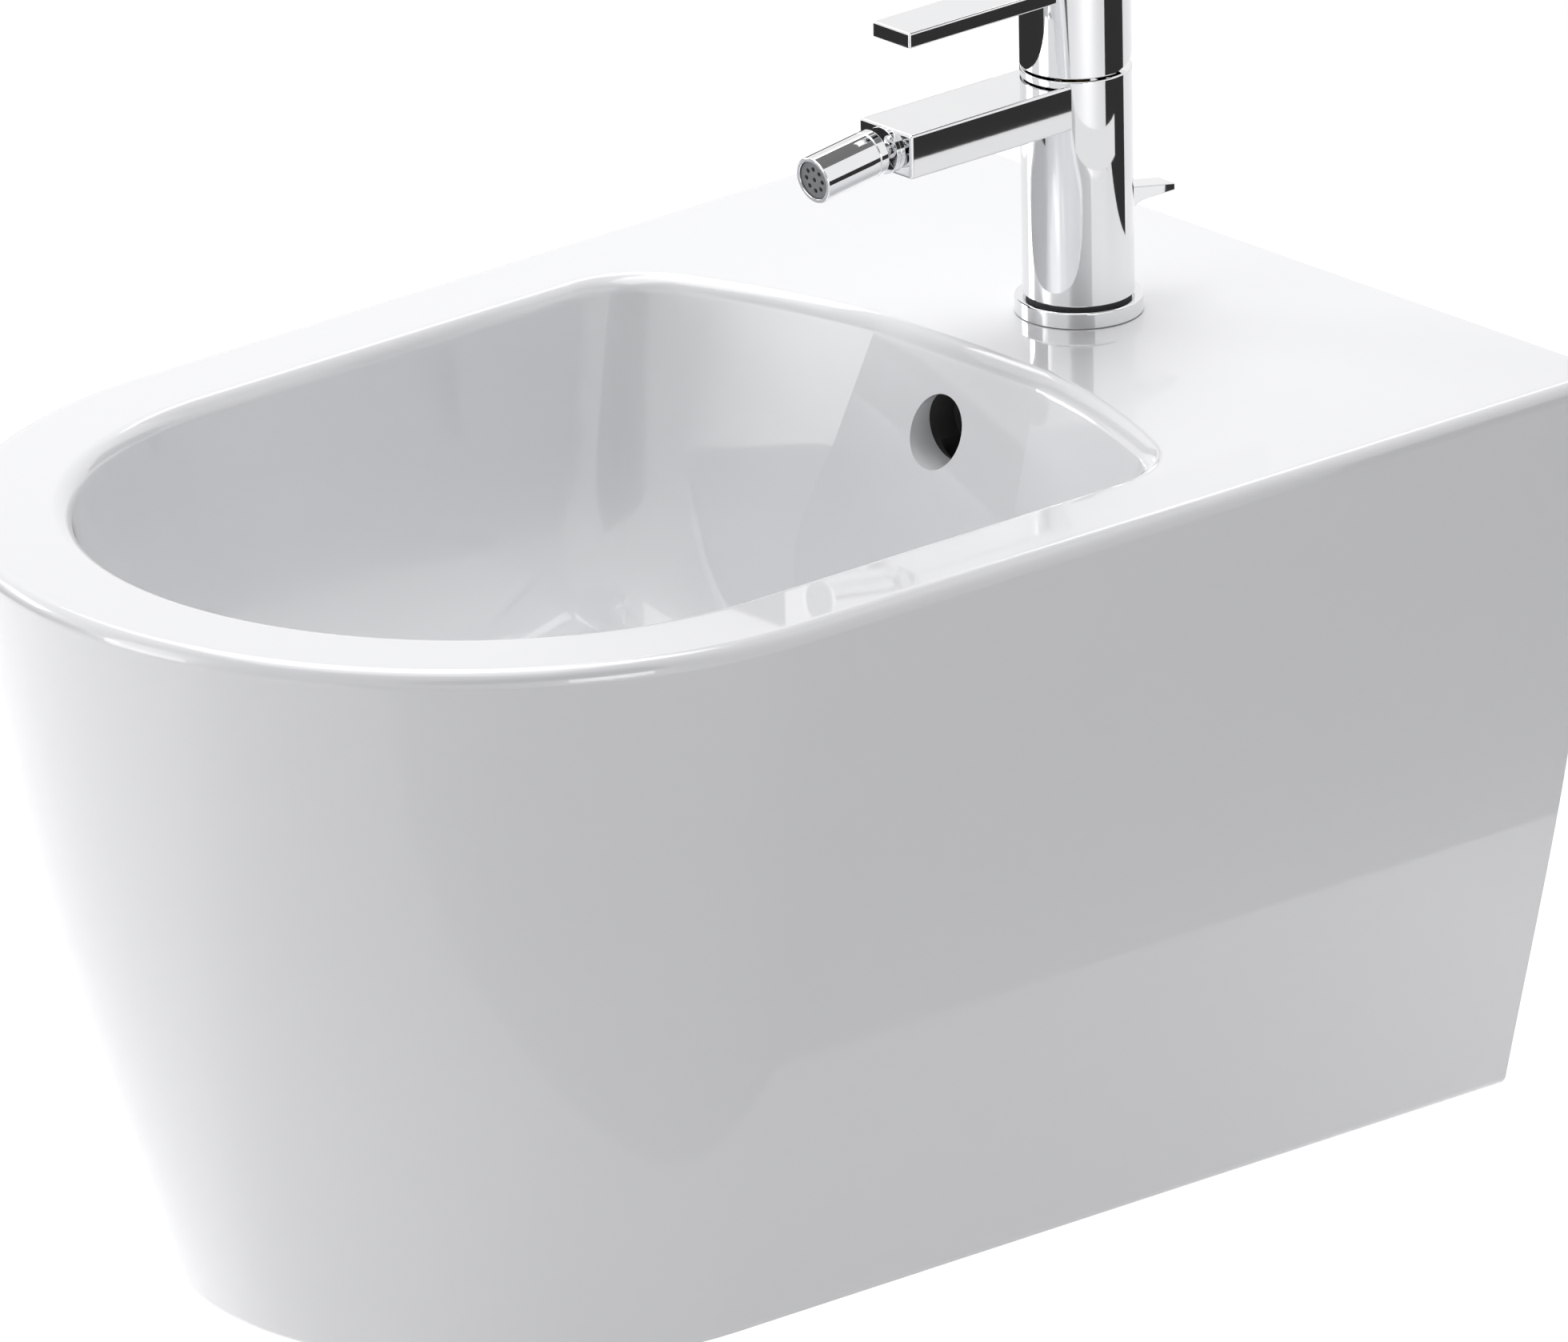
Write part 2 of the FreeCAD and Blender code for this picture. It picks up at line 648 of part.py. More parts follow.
def bowl_section(name, level, drop, grow):
    """A bowl section, grown by a wall: flat panel, curved rear, rear corners, sides and half-round front."""
    side, front, rear, curve, corner, panel = level
    half = bowl_half - side + grow
    front_y = size.front_rim + front - grow - size.body_length
    curve = curve + grow
    corner = corner + grow
    curve_centre = grow - size.bowl_rear - rear - curve
    corner_x = half - corner
    corner_rise = leg(curve - corner, corner_x)
    corner_y = curve_centre + corner_rise
    reach = curve / (curve - corner)
    joint_x = corner_x * reach
    joint_y = curve_centre + corner_rise * reach
    panel_y = curve_centre + leg(curve, panel)
    corners = (
        (panel, panel_y),
        (-panel, panel_y, curve, 1),
        (-joint_x, joint_y, corner, 1),
        (-half, corner_y),
        (-half, front_y + half, half, 1),
        (0, front_y, half, 1),
        (half, front_y + half),
        (half, corner_y, corner, 1),
        (joint_x, joint_y, curve, 1),
    )
    return outline(ceramic, name, "XY_Plane", corners, rim - drop)


nothing = size_of(0)
bowl_half = size.rim_width / 2 - size.side_rim
floor_half = recess_radius + size.floor_side
turn_half = floor_half + size.turn_side * (bowl_half - size.wall_side - floor_half)
bowl_levels = {
    "rim": (nothing, nothing, nothing, size.rear_curve, size.rear_corner, size.panel_top),
    "shoulder": (size.shoulder_side, size.shoulder_front, size.shoulder_rear,
                 size.rear_curve, size.shoulder_corner, (size.panel_top + size.panel_foot) / 2),
    "wall": (size.wall_side, size.wall_front, size.wall_rear,
             size.rear_curve, size.wall_corner, size.panel_foot),
    "turn": (bowl_half - turn_half, size.turn_front, size.turn_rear,
             size.turn_curve, size.wall_corner, (size.panel_foot + size.panel_end) / 2),
    "floor": (bowl_half - floor_half, size.floor_front, size.floor_rear,
              size.floor_curve, size.floor_corner, size.panel_end),
}
bowl_drops = {
    "rim": nothing, "shoulder": size.shoulder_drop, "wall": size.wall_drop,
    "turn": size.turn_drop, "floor": size.floor_drop,
}
deepening = size.floor_wall / size.floor_drop
loft(ceramic, "bowl_shell", [
    bowl_section(f"{name}_shell", level, bowl_drops[name] * (1 + deepening) if name != "rim"
                 else size.deck_thickness / 2, size.bowl_wall)
    for name, level in bowl_levels.items()])
post(ceramic, "waste_neck", "XY_Plane", (0, -size.waste_setback), rim - neck_depth,
     size.neck_radius, size.neck_drop)


def duct_face(drop, behind):
    """A point behind the bowl's leaning rear wall, at a drop below the rim."""
    return (behind - size.bowl_rear - rear_lean * drop, rim - drop)


duct_rear = size.bowl_wall + size.duct_depth
duct_back = duct_rear + size.duct_wall
extrude(ceramic, "duct_shell", "YZ_Plane", (
    duct_face(size.deck_thickness / 2, size.bowl_wall / 2),
    duct_face(duct_mouth - size.duct_wall, size.bowl_wall / 2),
    (-size.waste_setback, rim - duct_mouth + size.duct_wall),
    (-size.waste_setback, rim - duct_foot - size.duct_wall),
    duct_face(duct_foot + size.duct_wall, duct_back),
    duct_face(size.deck_thickness / 2, duct_back),
), size.duct_width + 2 * size.duct_wall)
loft(ceramic, "bowl", [
    bowl_section(f"{name}_bowl", level, bowl_drops[name], nothing)
    for name, level in bowl_levels.items()], cut=True)
extrude(ceramic, "duct", "YZ_Plane", (
    duct_face(size.duct_top_drop, size.bowl_wall),
    duct_face(duct_mouth, size.bowl_wall),
    (-size.waste_setback, rim - duct_mouth),
    (-size.waste_setback, rim - duct_foot),
    duct_face(duct_foot, duct_rear),
    duct_face(size.duct_top_drop, duct_rear),
), size.duct_width, cut=True)
post(ceramic, "overflow_hole", "XZ_Plane", (0, rim - size.overflow_drop),
     size.bowl_rear + rear_lean * size.overflow_drop - size.bowl_wall - size.duct_depth / 2,
     size.overflow_radius, 2 * size.bowl_wall + size.duct_depth, cut=True)
post(ceramic, "waste_hole", "XY_Plane", (0, -size.waste_setback), rim - neck_depth - size.overcut,
     size.waste_hole_radius, size.neck_drop + 2 * size.overcut, cut=True)
recess_drop = size.floor_drop + size.flange_thickness + size.top_seal_thickness
post(ceramic, "flange_recess", "XY_Plane", (0, -size.waste_setback), rim - recess_drop,
     recess_radius, recess_drop - size.floor_drop + size.overcut, cut=True)
post(ceramic, "tap_hole", "XY_Plane", (0, -size.tap_setback), deck_under - size.overcut,
     size.tap_hole_radius, size.deck_thickness + 2 * size.overcut, cut=True)
for side_name, side in (("right", 1), ("left", -1)):
    post(ceramic, f"{side_name}_stud_hole", "XZ_Plane", (side * size.stud_spacing / 2, 0), -size.overcut,
         size.stud_hole_radius, size.back_wall + 2 * size.overcut, cut=True)
block(ceramic, "pipe_window",
      (-size.window_width / 2, -size.back_wall - size.overcut, foot - size.overcut),
      (size.window_width / 2, size.overcut, rim - size.window_drop), cut=True)


def lies_at(edge, height):
    return all(abs(vertex.Z - height.value) < NEAR for vertex in edge.Vertexes)


def middle_of(edge):
    return edge.valueAt((edge.FirstParameter + edge.LastParameter) / 2)


def on_skirt(edge, height, width, length):
    """The skirt's outer edge at a height, without the stretch along the wall."""
    if not lies_at(edge, height):
        return False
    middle = middle_of(edge)
    half = width.value / 2
    front_middle = half - length.value
    if abs(abs(middle.x) - half) < NEAR:
        return True
    return middle.y < front_middle and abs(math.hypot(middle.x, middle.y - front_middle) - half) < NEAR


def on_rim(edge):
    return on_skirt(edge, rim, size.rim_width, size.body_length)


def on_foot(edge):
    return on_skirt(edge, foot, size.foot_width, size.foot_length)


def on_bowl_edge(edge):
    """The bowl's edge at the rim."""
    if not lies_at(edge, rim) or on_rim(edge):
        return False
    return middle_of(edge).y < NEAR - size.bowl_rear.value


round_edges(ceramic, "rim_rounding", size.rim_edge_radius, on_rim)
round_edges(ceramic, "bowl_rounding", size.bowl_edge_radius, on_bowl_edge)
round_edges(ceramic, "foot_rounding", size.foot_edge_radius, on_foot)


# Wall fixing: sleeve, washer and nut on each stud, threaded on from inside the ceramic

stud_place = (size.stud_spacing / 2, 0, 0)
sleeve_front = size.back_wall + size.sleeve_flange
washer_front = sleeve_front + size.washer_thickness
pair("fixing_sleeves", turned("fixing_sleeve", stud_place, (
    (size.stud_bore, size.thread_gap),
    (size.stud_hole_radius - size.thread_gap, size.thread_gap),
    (size.stud_hole_radius - size.thread_gap, size.back_wall),
    (size.sleeve_flange_radius, size.back_wall),
    (size.sleeve_flange_radius, sleeve_front),
    (size.stud_bore, sleeve_front),
), X_AXIS, SQUARE_TURN, single=False))
pair("fixing_washers", turned("fixing_washer", stud_place, ring(
    size.stud_bore, size.washer_radius, sleeve_front, washer_front), X_AXIS, SQUARE_TURN, single=False))
fixing_nut = new_piece("fixing_nut", stud_place, X_AXIS, SQUARE_TURN, single=False)
hexagon(fixing_nut, "fixing_nut_hexagon", washer_front, size.fixing_nut_flats, size.fixing_nut_height)
post(fixing_nut, "fixing_nut_bore", "XY_Plane", (0, 0), washer_front - size.overcut, size.stud_bore,
     size.fixing_nut_height + 2 * size.overcut, cut=True)
pair("fixing_nuts", fixing_nut)


# Tap base: seal and ring on the deck

turned("base_seal", tap_place, ring(
    size.seal_inner_radius, size.seal_outer_radius, nothing, size.seal_thickness))
turned("base_ring", tap_place, (
    (size.spigot_radius + size.thread_gap, size.seal_thickness),
    (size.seal_outer_radius + size.thread_gap, size.seal_thickness),
    (size.seal_outer_radius + size.thread_gap, size.ring_lift),
    (size.ring_radius, size.ring_lift),
    (size.ring_radius, ring_top - size.tap_edge),
    (size.ring_radius - size.tap_edge, ring_top),
    (size.spigot_radius + size.thread_gap, ring_top),
))


# Tap body with the square spout

tap = turned("tap_body", tap_place, (
    (0, -size.spigot_length),
    (size.spigot_radius, -size.spigot_length),
    (size.spigot_radius, ring_top),
    (size.tap_radius - size.shadow_depth, ring_top),
    (size.tap_radius - size.shadow_depth, ring_top + size.shadow_height),
    (size.tap_radius, ring_top + size.shadow_height),
    (size.tap_radius, size.tap_height - size.tap_edge),
    (size.tap_radius - size.tap_edge, size.tap_height),
    (0, size.tap_height),
))
spout_bottom = size.spout_top - size.spout_thickness
spout_middle = size.spout_top - size.spout_thickness / 2
block(tap, "spout", (-size.spout_width / 2, -size.spout_reach, spout_bottom),
      (size.spout_width / 2, nothing, size.spout_top))


def clear_of_body(edge):
    """Every edge of a spout or lever that reaches out of the round body."""
    return edge.BoundBox.YMin < -size.tap_radius.value - NEAR


round_edges(tap, "spout_rounding", size.spout_edge, clear_of_body)
bore_radius = size.cartridge_radius + size.cartridge_gap
post(tap, "cartridge_bore", "XY_Plane", (0, 0), size.cartridge_floor, bore_radius,
     size.tap_height - size.cartridge_floor + size.overcut, cut=True)
for side_name, side in (("hot", -1), ("cold", 1)):
    spot = (side * size.inlet_offset, 0)
    post(tap, f"{side_name}_inlet", "XY_Plane", spot, -size.spigot_length - size.overcut, size.inlet_radius,
         size.inlet_depth + size.overcut, cut=True)
    post(tap, f"{side_name}_passage", "XY_Plane", spot, -size.spigot_length, size.passage_radius,
         size.spigot_length + size.cartridge_floor + size.overcut, cut=True)
post(tap, "fixing_hole", "XY_Plane", (0, -size.tap_stud_offset), -size.spigot_length - size.overcut,
     size.tap_stud_radius, size.tap_stud_grip + size.overcut, cut=True)
post(tap, "rod_bore", "XY_Plane", (0, size.rod_offset), -size.spigot_length - size.overcut,
     size.rod_radius + size.running_gap, size.spigot_length + size.slot_top, cut=True)
block(tap, "tab_slot", (-size.slot_width / 2, size.rod_offset - size.slot_width / 2, size.slot_bottom),
      (size.slot_width / 2, size.tap_radius + size.overcut, size.slot_top), cut=True)
block(tap, "outlet_riser", (-size.spout_bore, -bore_radius - size.riser_depth, moving_top - size.spout_bore),
      (size.spout_bore, size.overcut - bore_radius, spout_middle), cut=True)
post(tap, "spout_waterway", "XZ_Plane", (0, spout_middle), bore_radius - size.overcut, size.spout_bore,
     size.spout_reach - bore_radius, cut=True)
post(tap, "stud_thread", "XZ_Plane", (0, spout_middle), size.spout_reach - size.thread_length - size.overcut,
     size.thread_radius + size.thread_gap, size.thread_length + 2 * size.overcut, cut=True)


# Cartridge: base with port seals, ceramic discs, driver, housing, rotor, stem and nut

base_low = size.cartridge_floor + size.thread_gap
cartridge_base = turned("cartridge_base", tap_place, (
    (0, base_low), (size.cartridge_radius, base_low), (size.cartridge_radius, base_top), (0, base_top)))
for side_name, side in (("hot", -1), ("cold", 1)):
    spot = (side * size.inlet_offset, 0)
    post(cartridge_base, f"{side_name}_seal_recess", "XY_Plane", spot, size.cartridge_floor,
         size.port_seal_radius, size.port_seal_height, cut=True)
    post(cartridge_base, f"{side_name}_port", "XY_Plane", spot, size.cartridge_floor, size.passage_radius,
         size.seat_height + size.overcut, cut=True)
pair("cartridge_seals", turned(
    "port_seal", (size.inlet_offset, -size.tap_setback, rim + size.cartridge_floor),
    ring(size.passage_radius, size.port_seal_radius, nothing, size.port_seal_height), single=False))
fixed_disc = turned("fixed_disc", tap_place, (
    (0, base_top), (size.fixed_disc_radius, base_top), (size.fixed_disc_radius, fixed_top), (0, fixed_top)))
for side_name, side in (("hot", -1), ("cold", 1)):
    post(fixed_disc, f"{side_name}_disc_port", "XY_Plane", (side * size.inlet_offset, 0),
         base_top - size.overcut, size.fixed_disc_radius - size.inlet_offset - size.overcut,
         size.disc_thickness + 2 * size.overcut, cut=True)
turned("moving_disc", tap_place, (
    (0, moving_low + size.disc_thickness / 2),
    (size.moving_disc_radius / 2, moving_low + size.disc_thickness / 2),
    (size.moving_disc_radius / 2, moving_low),
    (size.moving_disc_radius, moving_low),
    (size.moving_disc_radius, moving_top),
    (0, moving_top)))
turned("disc_driver", tap_place, ring(size.socket_radius, size.driver_radius, moving_top, driver_top))
housing = turned("cartridge_housing", tap_place, (
    (housing_inner, base_top), (size.cartridge_radius, base_top), (size.cartridge_radius, housing_top),
    (size.rotor_neck_radius + size.running_gap, housing_top),
    (size.rotor_neck_radius + size.running_gap, housing_top - size.housing_top),
    (housing_inner, housing_top - size.housing_top)))
post(housing, "outlet_window", "XZ_Plane", (0, moving_top), housing_inner - size.cartridge_wall,
     size.spout_bore, size.cartridge_radius, cut=True)
rotor = turned("cartridge_rotor", tap_place, (
    (0, rotor_low), (housing_inner - size.running_gap, rotor_low),
    (housing_inner - size.running_gap, rotor_flange_top), (size.rotor_neck_radius, rotor_flange_top),
    (size.rotor_neck_radius, rotor_top), (0, rotor_top)))
stem_swing = (rotor_top - pin_height) * sine(size.lift_angle) + size.slide_gap
slot_half_width = size.stem_width / 2 + size.running_gap
slot_half_depth = size.stem_depth / 2 + stem_swing
block(rotor, "stem_slot", (-slot_half_width, -slot_half_depth, rotor_low - size.overcut),
      (slot_half_width, slot_half_depth, rotor_top + size.overcut), cut=True)
post(rotor, "rotor_pin_hole", "YZ_Plane", (0, pin_height), -size.pin_length / 2,
     size.pin_radius, size.pin_length, cut=True)
turned("stem_pin", (-size.pin_length / 2, -size.tap_setback, rim + pin_height), (
    (0, 0), (size.pin_radius, 0), (size.pin_radius, size.pin_length), (0, size.pin_length)),
    FreeCAD.Vector(0, 1, 0), SQUARE_TURN)
stem = new_piece("cartridge_stem", tap_place)
block(stem, "stem_bar", (-size.stem_width / 2, -size.stem_depth / 2, rotor_low),
      (size.stem_width / 2, size.stem_depth / 2, stem_top))
post(stem, "stem_tip", "XY_Plane", (0, 0), tip_low, size.tip_radius, rotor_low - tip_low)
post(stem, "stem_pin_hole", "YZ_Plane", (0, pin_height), -size.stem_width, size.pin_radius + size.running_gap,
     2 * size.stem_width, cut=True)
nut = turned("cartridge_nut", tap_place, ring(
    size.nut_bore, bore_radius - size.running_gap, housing_top, housing_top + size.nut_height))
notch = block(nut, "nut_notch_cut", (-size.nut_notch / 2, size.nut_bore - size.overcut,
                                     housing_top + size.nut_height / 2),
              (size.nut_notch / 2, bore_radius + size.overcut, housing_top + size.nut_height + size.overcut),
              cut=True)
around(nut, "nut_notches", notch, NOTCH_COUNT)


# Handle: hub with the flat lever, its grub screw and the plug over it

handle_low = size.tap_height + size.handle_gap
handle_top = handle_low + size.handle_height
cavity_top = handle_top - size.handle_roof
boss_low = cavity_top - size.boss_drop
cavity_radius = size.tap_radius - size.handle_wall
lever_top = handle_top - size.lever_drop
grub_height = boss_low + size.grub_drop
socket_gap = size.running_gap
handle = turned("handle", tap_place, (
    (0, handle_low),
    (size.tap_radius - size.tap_edge, handle_low),
    (size.tap_radius, handle_low + size.tap_edge),
    (size.tap_radius, handle_top - size.tap_edge),
    (size.tap_radius - size.tap_edge, handle_top),
    (0, handle_top)))
block(handle, "lever", (-size.lever_width / 2, -size.lever_reach, lever_top - size.lever_thickness),
      (size.lever_width / 2, nothing, lever_top))
round_edges(handle, "lever_rounding", size.lever_edge, clear_of_body)
post(handle, "hub_cavity", "XY_Plane", (0, 0), handle_low - size.overcut, cavity_radius,
     cavity_top - handle_low + size.overcut, cut=True)
post(handle, "stem_boss", "XY_Plane", (0, 0), boss_low, size.boss_radius,
     size.boss_drop + size.overcut)
relief_reach = size.tap_radius + size.overcut
relief_rise = relief_reach * sine(size.relief_angle) / cosine(size.relief_angle)
extrude(handle, "rear_relief", "YZ_Plane", (
    (0, handle_low), (0, handle_low - size.overcut), (relief_reach, handle_low - size.overcut),
    (relief_reach, handle_low + relief_rise)), 2 * relief_reach, cut=True)
block(handle, "stem_socket",
      (-size.stem_width / 2 - socket_gap, -size.stem_depth / 2 - socket_gap, boss_low - size.overcut),
      (size.stem_width / 2 + socket_gap, size.stem_depth / 2 + socket_gap, stem_top + socket_gap), cut=True)
post(handle, "grub_hole", "XZ_Plane", (0, grub_height), -size.boss_radius - size.overcut, size.grub_radius,
     size.boss_radius + size.overcut - size.stem_depth / 2, cut=True)
post(handle, "cover_hole", "XZ_Plane", (0, grub_height), -size.tap_radius - size.overcut, size.cover_radius,
     size.handle_wall + 2 * size.overcut, cut=True)
grub_y = size.stem_depth / 2 + socket_gap - size.tap_setback
grub = turned("handle_screw", (0, grub_y, rim + grub_height), (
    (0, 0), (size.grub_radius, 0), (size.grub_radius, -size.grub_length), (0, -size.grub_length)),
    X_AXIS, SQUARE_TURN)
grub_hexagon = grub.newObject("PartDesign::SubtractivePrism", "hexagon_socket")
grub_hexagon.Polygon = HEXAGON_SIDE_COUNT
attach(grub_hexagon, grub, "XY_Plane", 0, 0, -size.grub_length - size.overcut)
bind(grub_hexagon, "Circumradius", size.grub_socket)
bind(grub_hexagon, "Height", size.grub_length / 2 + size.overcut)
cover_y = leg(size.tap_radius, size.cover_radius) - size.cover_sink - size.tap_setback
turned("screw_cover", (0, cover_y, rim + grub_height), (
    (0, 0), (size.cover_radius, 0), (size.cover_radius, size.cover_length), (0, size.cover_length)),
    X_AXIS, SQUARE_TURN)


# Ball-jointed nozzle. Its pieces are turned along the outflow, with the ball's centre at their origin.

ball_place = (0, -size.tap_setback - size.spout_reach - size.ball_distance, rim + spout_middle)
flange_front = size.stud_flange - size.ball_distance
end_face = -size.ball_distance
neck_meets = -leg(size.ball_radius, size.stud_neck_radius)
tip_meets = leg(size.ball_radius, size.stud_bore_radius)
turned("ball_stud", ball_place, (
    (size.stud_bore_radius, end_face - size.thread_length),
    (size.thread_radius, end_face - size.thread_length),
    (size.thread_radius, end_face + size.stud_seal_thickness),
    (size.stud_seal_outer + size.thread_gap, end_face + size.stud_seal_thickness),
    (size.stud_seal_outer + size.thread_gap, end_face),
    (size.nozzle_radius, end_face),
    (size.nozzle_radius, flange_front),
    (size.stud_neck_radius, flange_front),
    (size.stud_neck_radius, neck_meets, size.ball_radius, 1),
    (size.ball_radius, 0, size.ball_radius, 1),
    (size.stud_bore_radius, tip_meets),
), X_AXIS, SQUARE_TURN)
turned("stud_seal", ball_place, ring(
    size.thread_radius + size.thread_gap, size.stud_seal_outer,
    end_face, end_face + size.stud_seal_thickness), X_AXIS, SQUARE_TURN)

nozzle_turn = SQUARE_TURN + size.nozzle_droop
seat_inner = size.ball_radius + size.running_gap
seat_outer = seat_inner + size.seat_wall
shell_inner = seat_outer + size.running_gap
turned("ball_seat", ball_place, (
    (seat_inner * sine(size.seat_end), seat_inner * cosine(size.seat_end)),
    (seat_outer * sine(size.seat_end), seat_outer * cosine(size.seat_end), seat_outer, 1),
    (seat_outer * sine(size.seat_start), seat_outer * cosine(size.seat_start)),
    (seat_inner * sine(size.seat_start), seat_inner * cosine(size.seat_start), seat_inner, -1),
), X_AXIS, SQUARE_TURN)
collar_angle = 2 * SQUARE_TURN - size.collar_open
turned("ball_collar", ball_place, (
    (seat_inner * sine(collar_angle), seat_inner * cosine(collar_angle)),
    (size.nozzle_radius - size.nozzle_edge, seat_inner * cosine(collar_angle)),
    (size.nozzle_radius, seat_inner * cosine(collar_angle) + size.nozzle_edge),
    (size.nozzle_radius, size.split_plane - size.nozzle_edge),
    (size.nozzle_radius - size.nozzle_edge, size.split_plane),
    (leg(seat_inner, size.split_plane), size.split_plane, seat_inner, -1),
), X_AXIS, nozzle_turn)
throat_meets = leg(shell_inner, size.throat_radius)
chamber_low = throat_meets + size.throat_length
turned("nozzle", ball_place, (
    (leg(shell_inner, size.split_plane), size.split_plane),
    (size.nozzle_radius - size.nozzle_edge, size.split_plane),
    (size.nozzle_radius, size.split_plane + size.nozzle_edge),
    (size.nozzle_radius, size.nozzle_length - size.nozzle_edge),
    (size.nozzle_radius - size.nozzle_edge, size.nozzle_length),
    (size.chamber_radius, size.nozzle_length),
    (size.chamber_radius, chamber_low),
    (size.throat_radius, chamber_low),
    (size.throat_radius, throat_meets, shell_inner, -1),
), X_AXIS, nozzle_turn)
aerator_high = size.nozzle_length - size.aerator_sink
aerator_low = aerator_high - size.aerator_length
insert_radius = size.chamber_radius - size.thread_gap
aerator = turned("aerator_insert", ball_place, (
    (0, aerator_low), (insert_radius, aerator_low), (insert_radius, aerator_high), (0, aerator_high)),
    X_AXIS, nozzle_turn)
post(aerator, "middle_jet", "XY_Plane", (0, 0), aerator_low - size.overcut, size.jet_radius,
     size.aerator_length + 2 * size.overcut, cut=True)
jet = post(aerator, "outer_jet", "XY_Plane", (size.jet_circle, 0), aerator_low - size.overcut,
           size.jet_radius, size.aerator_length + 2 * size.overcut, cut=True)
around(aerator, "jets", jet, JET_COUNT)
turned("aerator_seal", ball_place, ring(
    insert_radius - size.aerator_seal_wall, insert_radius, chamber_low, aerator_low), X_AXIS, nozzle_turn)


# Fixing of the tap: stud, seal, clamp plate and nut under the deck

under = -size.deck_thickness
seal_low = under - size.clamp_seal_thickness
plate_low = seal_low - size.clamp_plate_thickness
nut_low = plate_low - size.clamp_nut_height
tap_stud_place = (0, -size.tap_setback - size.tap_stud_offset, rim)
tap_stud_top = size.tap_stud_grip - size.spigot_length
tap_stud_low = nut_low - size.tap_stud_free
turned("tap_stud", tap_stud_place, (
    (0, tap_stud_low), (size.tap_stud_radius - size.tap_edge, tap_stud_low),
    (size.tap_stud_radius, tap_stud_low + size.tap_edge), (size.tap_stud_radius, tap_stud_top),
    (0, tap_stud_top)))


def clamp_piece(label, low, thickness):
    """A round plate, open at the back for the hoses and the lift rod."""
    body = new_piece(label, tap_place)
    post(body, f"{label}_plate", "XY_Plane", (0, 0), low, size.clamp_radius, thickness)
    block(body, f"{label}_gap", (-size.clamp_gap_width / 2, -size.clamp_gap_front, low - size.overcut),
          (size.clamp_gap_width / 2, size.clamp_radius + size.overcut, low + thickness + size.overcut),
          cut=True)
    post(body, f"{label}_hole", "XY_Plane", (0, -size.tap_stud_offset), low - size.overcut,
         size.tap_stud_radius + size.thread_gap, thickness + 2 * size.overcut, cut=True)


clamp_piece("clamp_seal", seal_low, size.clamp_seal_thickness)
clamp_piece("clamp_plate", plate_low, size.clamp_plate_thickness)
clamp_nut = new_piece("clamp_nut", tap_stud_place)
hexagon(clamp_nut, "clamp_nut_hexagon", nut_low, size.clamp_nut_flats, size.clamp_nut_height)
post(clamp_nut, "clamp_nut_bore", "XY_Plane", (0, 0), nut_low - size.overcut, size.tap_stud_radius,
     size.clamp_nut_height + 2 * size.overcut, cut=True)


# Pull tab and lift rod behind the tap

tab_top = size.tab_bottom + size.tab_height
tab_root = size.tap_radius + size.tab_gap
tab = new_piece("lift_tab", tap_place)
neck_half = size.slot_width / 2 - size.thread_gap
block(tab, "tab_neck", (-neck_half, size.rod_offset - neck_half, size.tab_bottom),
      (neck_half, tab_root + size.overcut, tab_top))
extrude(tab, "tab_finger", "YZ_Plane", (
    (tab_root, size.tab_bottom),
    (tab_root + size.tab_gusset, tab_top - size.tab_droop - size.tab_tip),
    (size.tab_reach, tab_top - size.tab_droop - size.tab_tip),
    (size.tab_reach, tab_top - size.tab_droop),
    (tab_root, tab_top)), size.tab_width)
post(tab, "tab_rod_hole", "XY_Plane", (0, size.rod_offset), size.tab_bottom - size.overcut, size.rod_radius,
     size.tab_rod_grip + size.overcut, cut=True)
strap_top = -size.strap_top_drop
strap_block_low = strap_top - size.strap_block_height
rod_top = size.tab_bottom + size.tab_rod_grip
rod_low = strap_block_low + size.overcut
turned("lift_rod", (0, rod_y, rim), (
    (0, rod_low), (size.rod_radius, rod_low), (size.rod_radius, rod_top), (0, rod_top)))


# Link strap on the lift rod, its screw, the pivot rod and the spring clip that keeps it in the strap

strap = new_piece("link_strap", (0, rod_y, rim))
block_half = size.strap_block / 2
pivot_height = -pivot_depth
block(strap, "strap_clamp", (-block_half, -block_half, strap_block_low), (block_half, block_half, strap_top))
block(strap, "strap_plate", (-block_half, -size.strap_thickness / 2, pivot_height - size.strap_tail),
      (block_half, size.strap_thickness / 2, strap_top))
post(strap, "strap_rod_hole", "XY_Plane", (0, 0), rod_low, size.rod_radius,
     strap_top - rod_low + size.overcut, cut=True)
strap_hole_radius = size.pivot_rod_radius + size.strap_hole_gap
for number in range(STRAP_HOLE_COUNT):
    post(strap, f"strap_hole_{number}", "XZ_Plane", (0, pivot_height + number * size.strap_pitch),
         -size.strap_thickness, strap_hole_radius, 2 * size.strap_thickness, cut=True)
screw_height = strap_top - size.strap_block_height / 2
post(strap, "strap_screw_hole", "YZ_Plane", (0, screw_height), nothing, size.strap_screw_radius,
     block_half + size.overcut, cut=True)
knob_start = block_half + size.slide_gap
knob_end = knob_start + size.strap_knob
turned("strap_screw", (0, rod_y, rim + screw_height), (
    (0, size.rod_radius), (size.strap_screw_radius, size.rod_radius), (size.strap_screw_radius, knob_start),
    (size.strap_knob_radius, knob_start), (size.strap_knob_radius, knob_end), (0, knob_end)),
    FreeCAD.Vector(0, 1, 0), SQUARE_TURN)

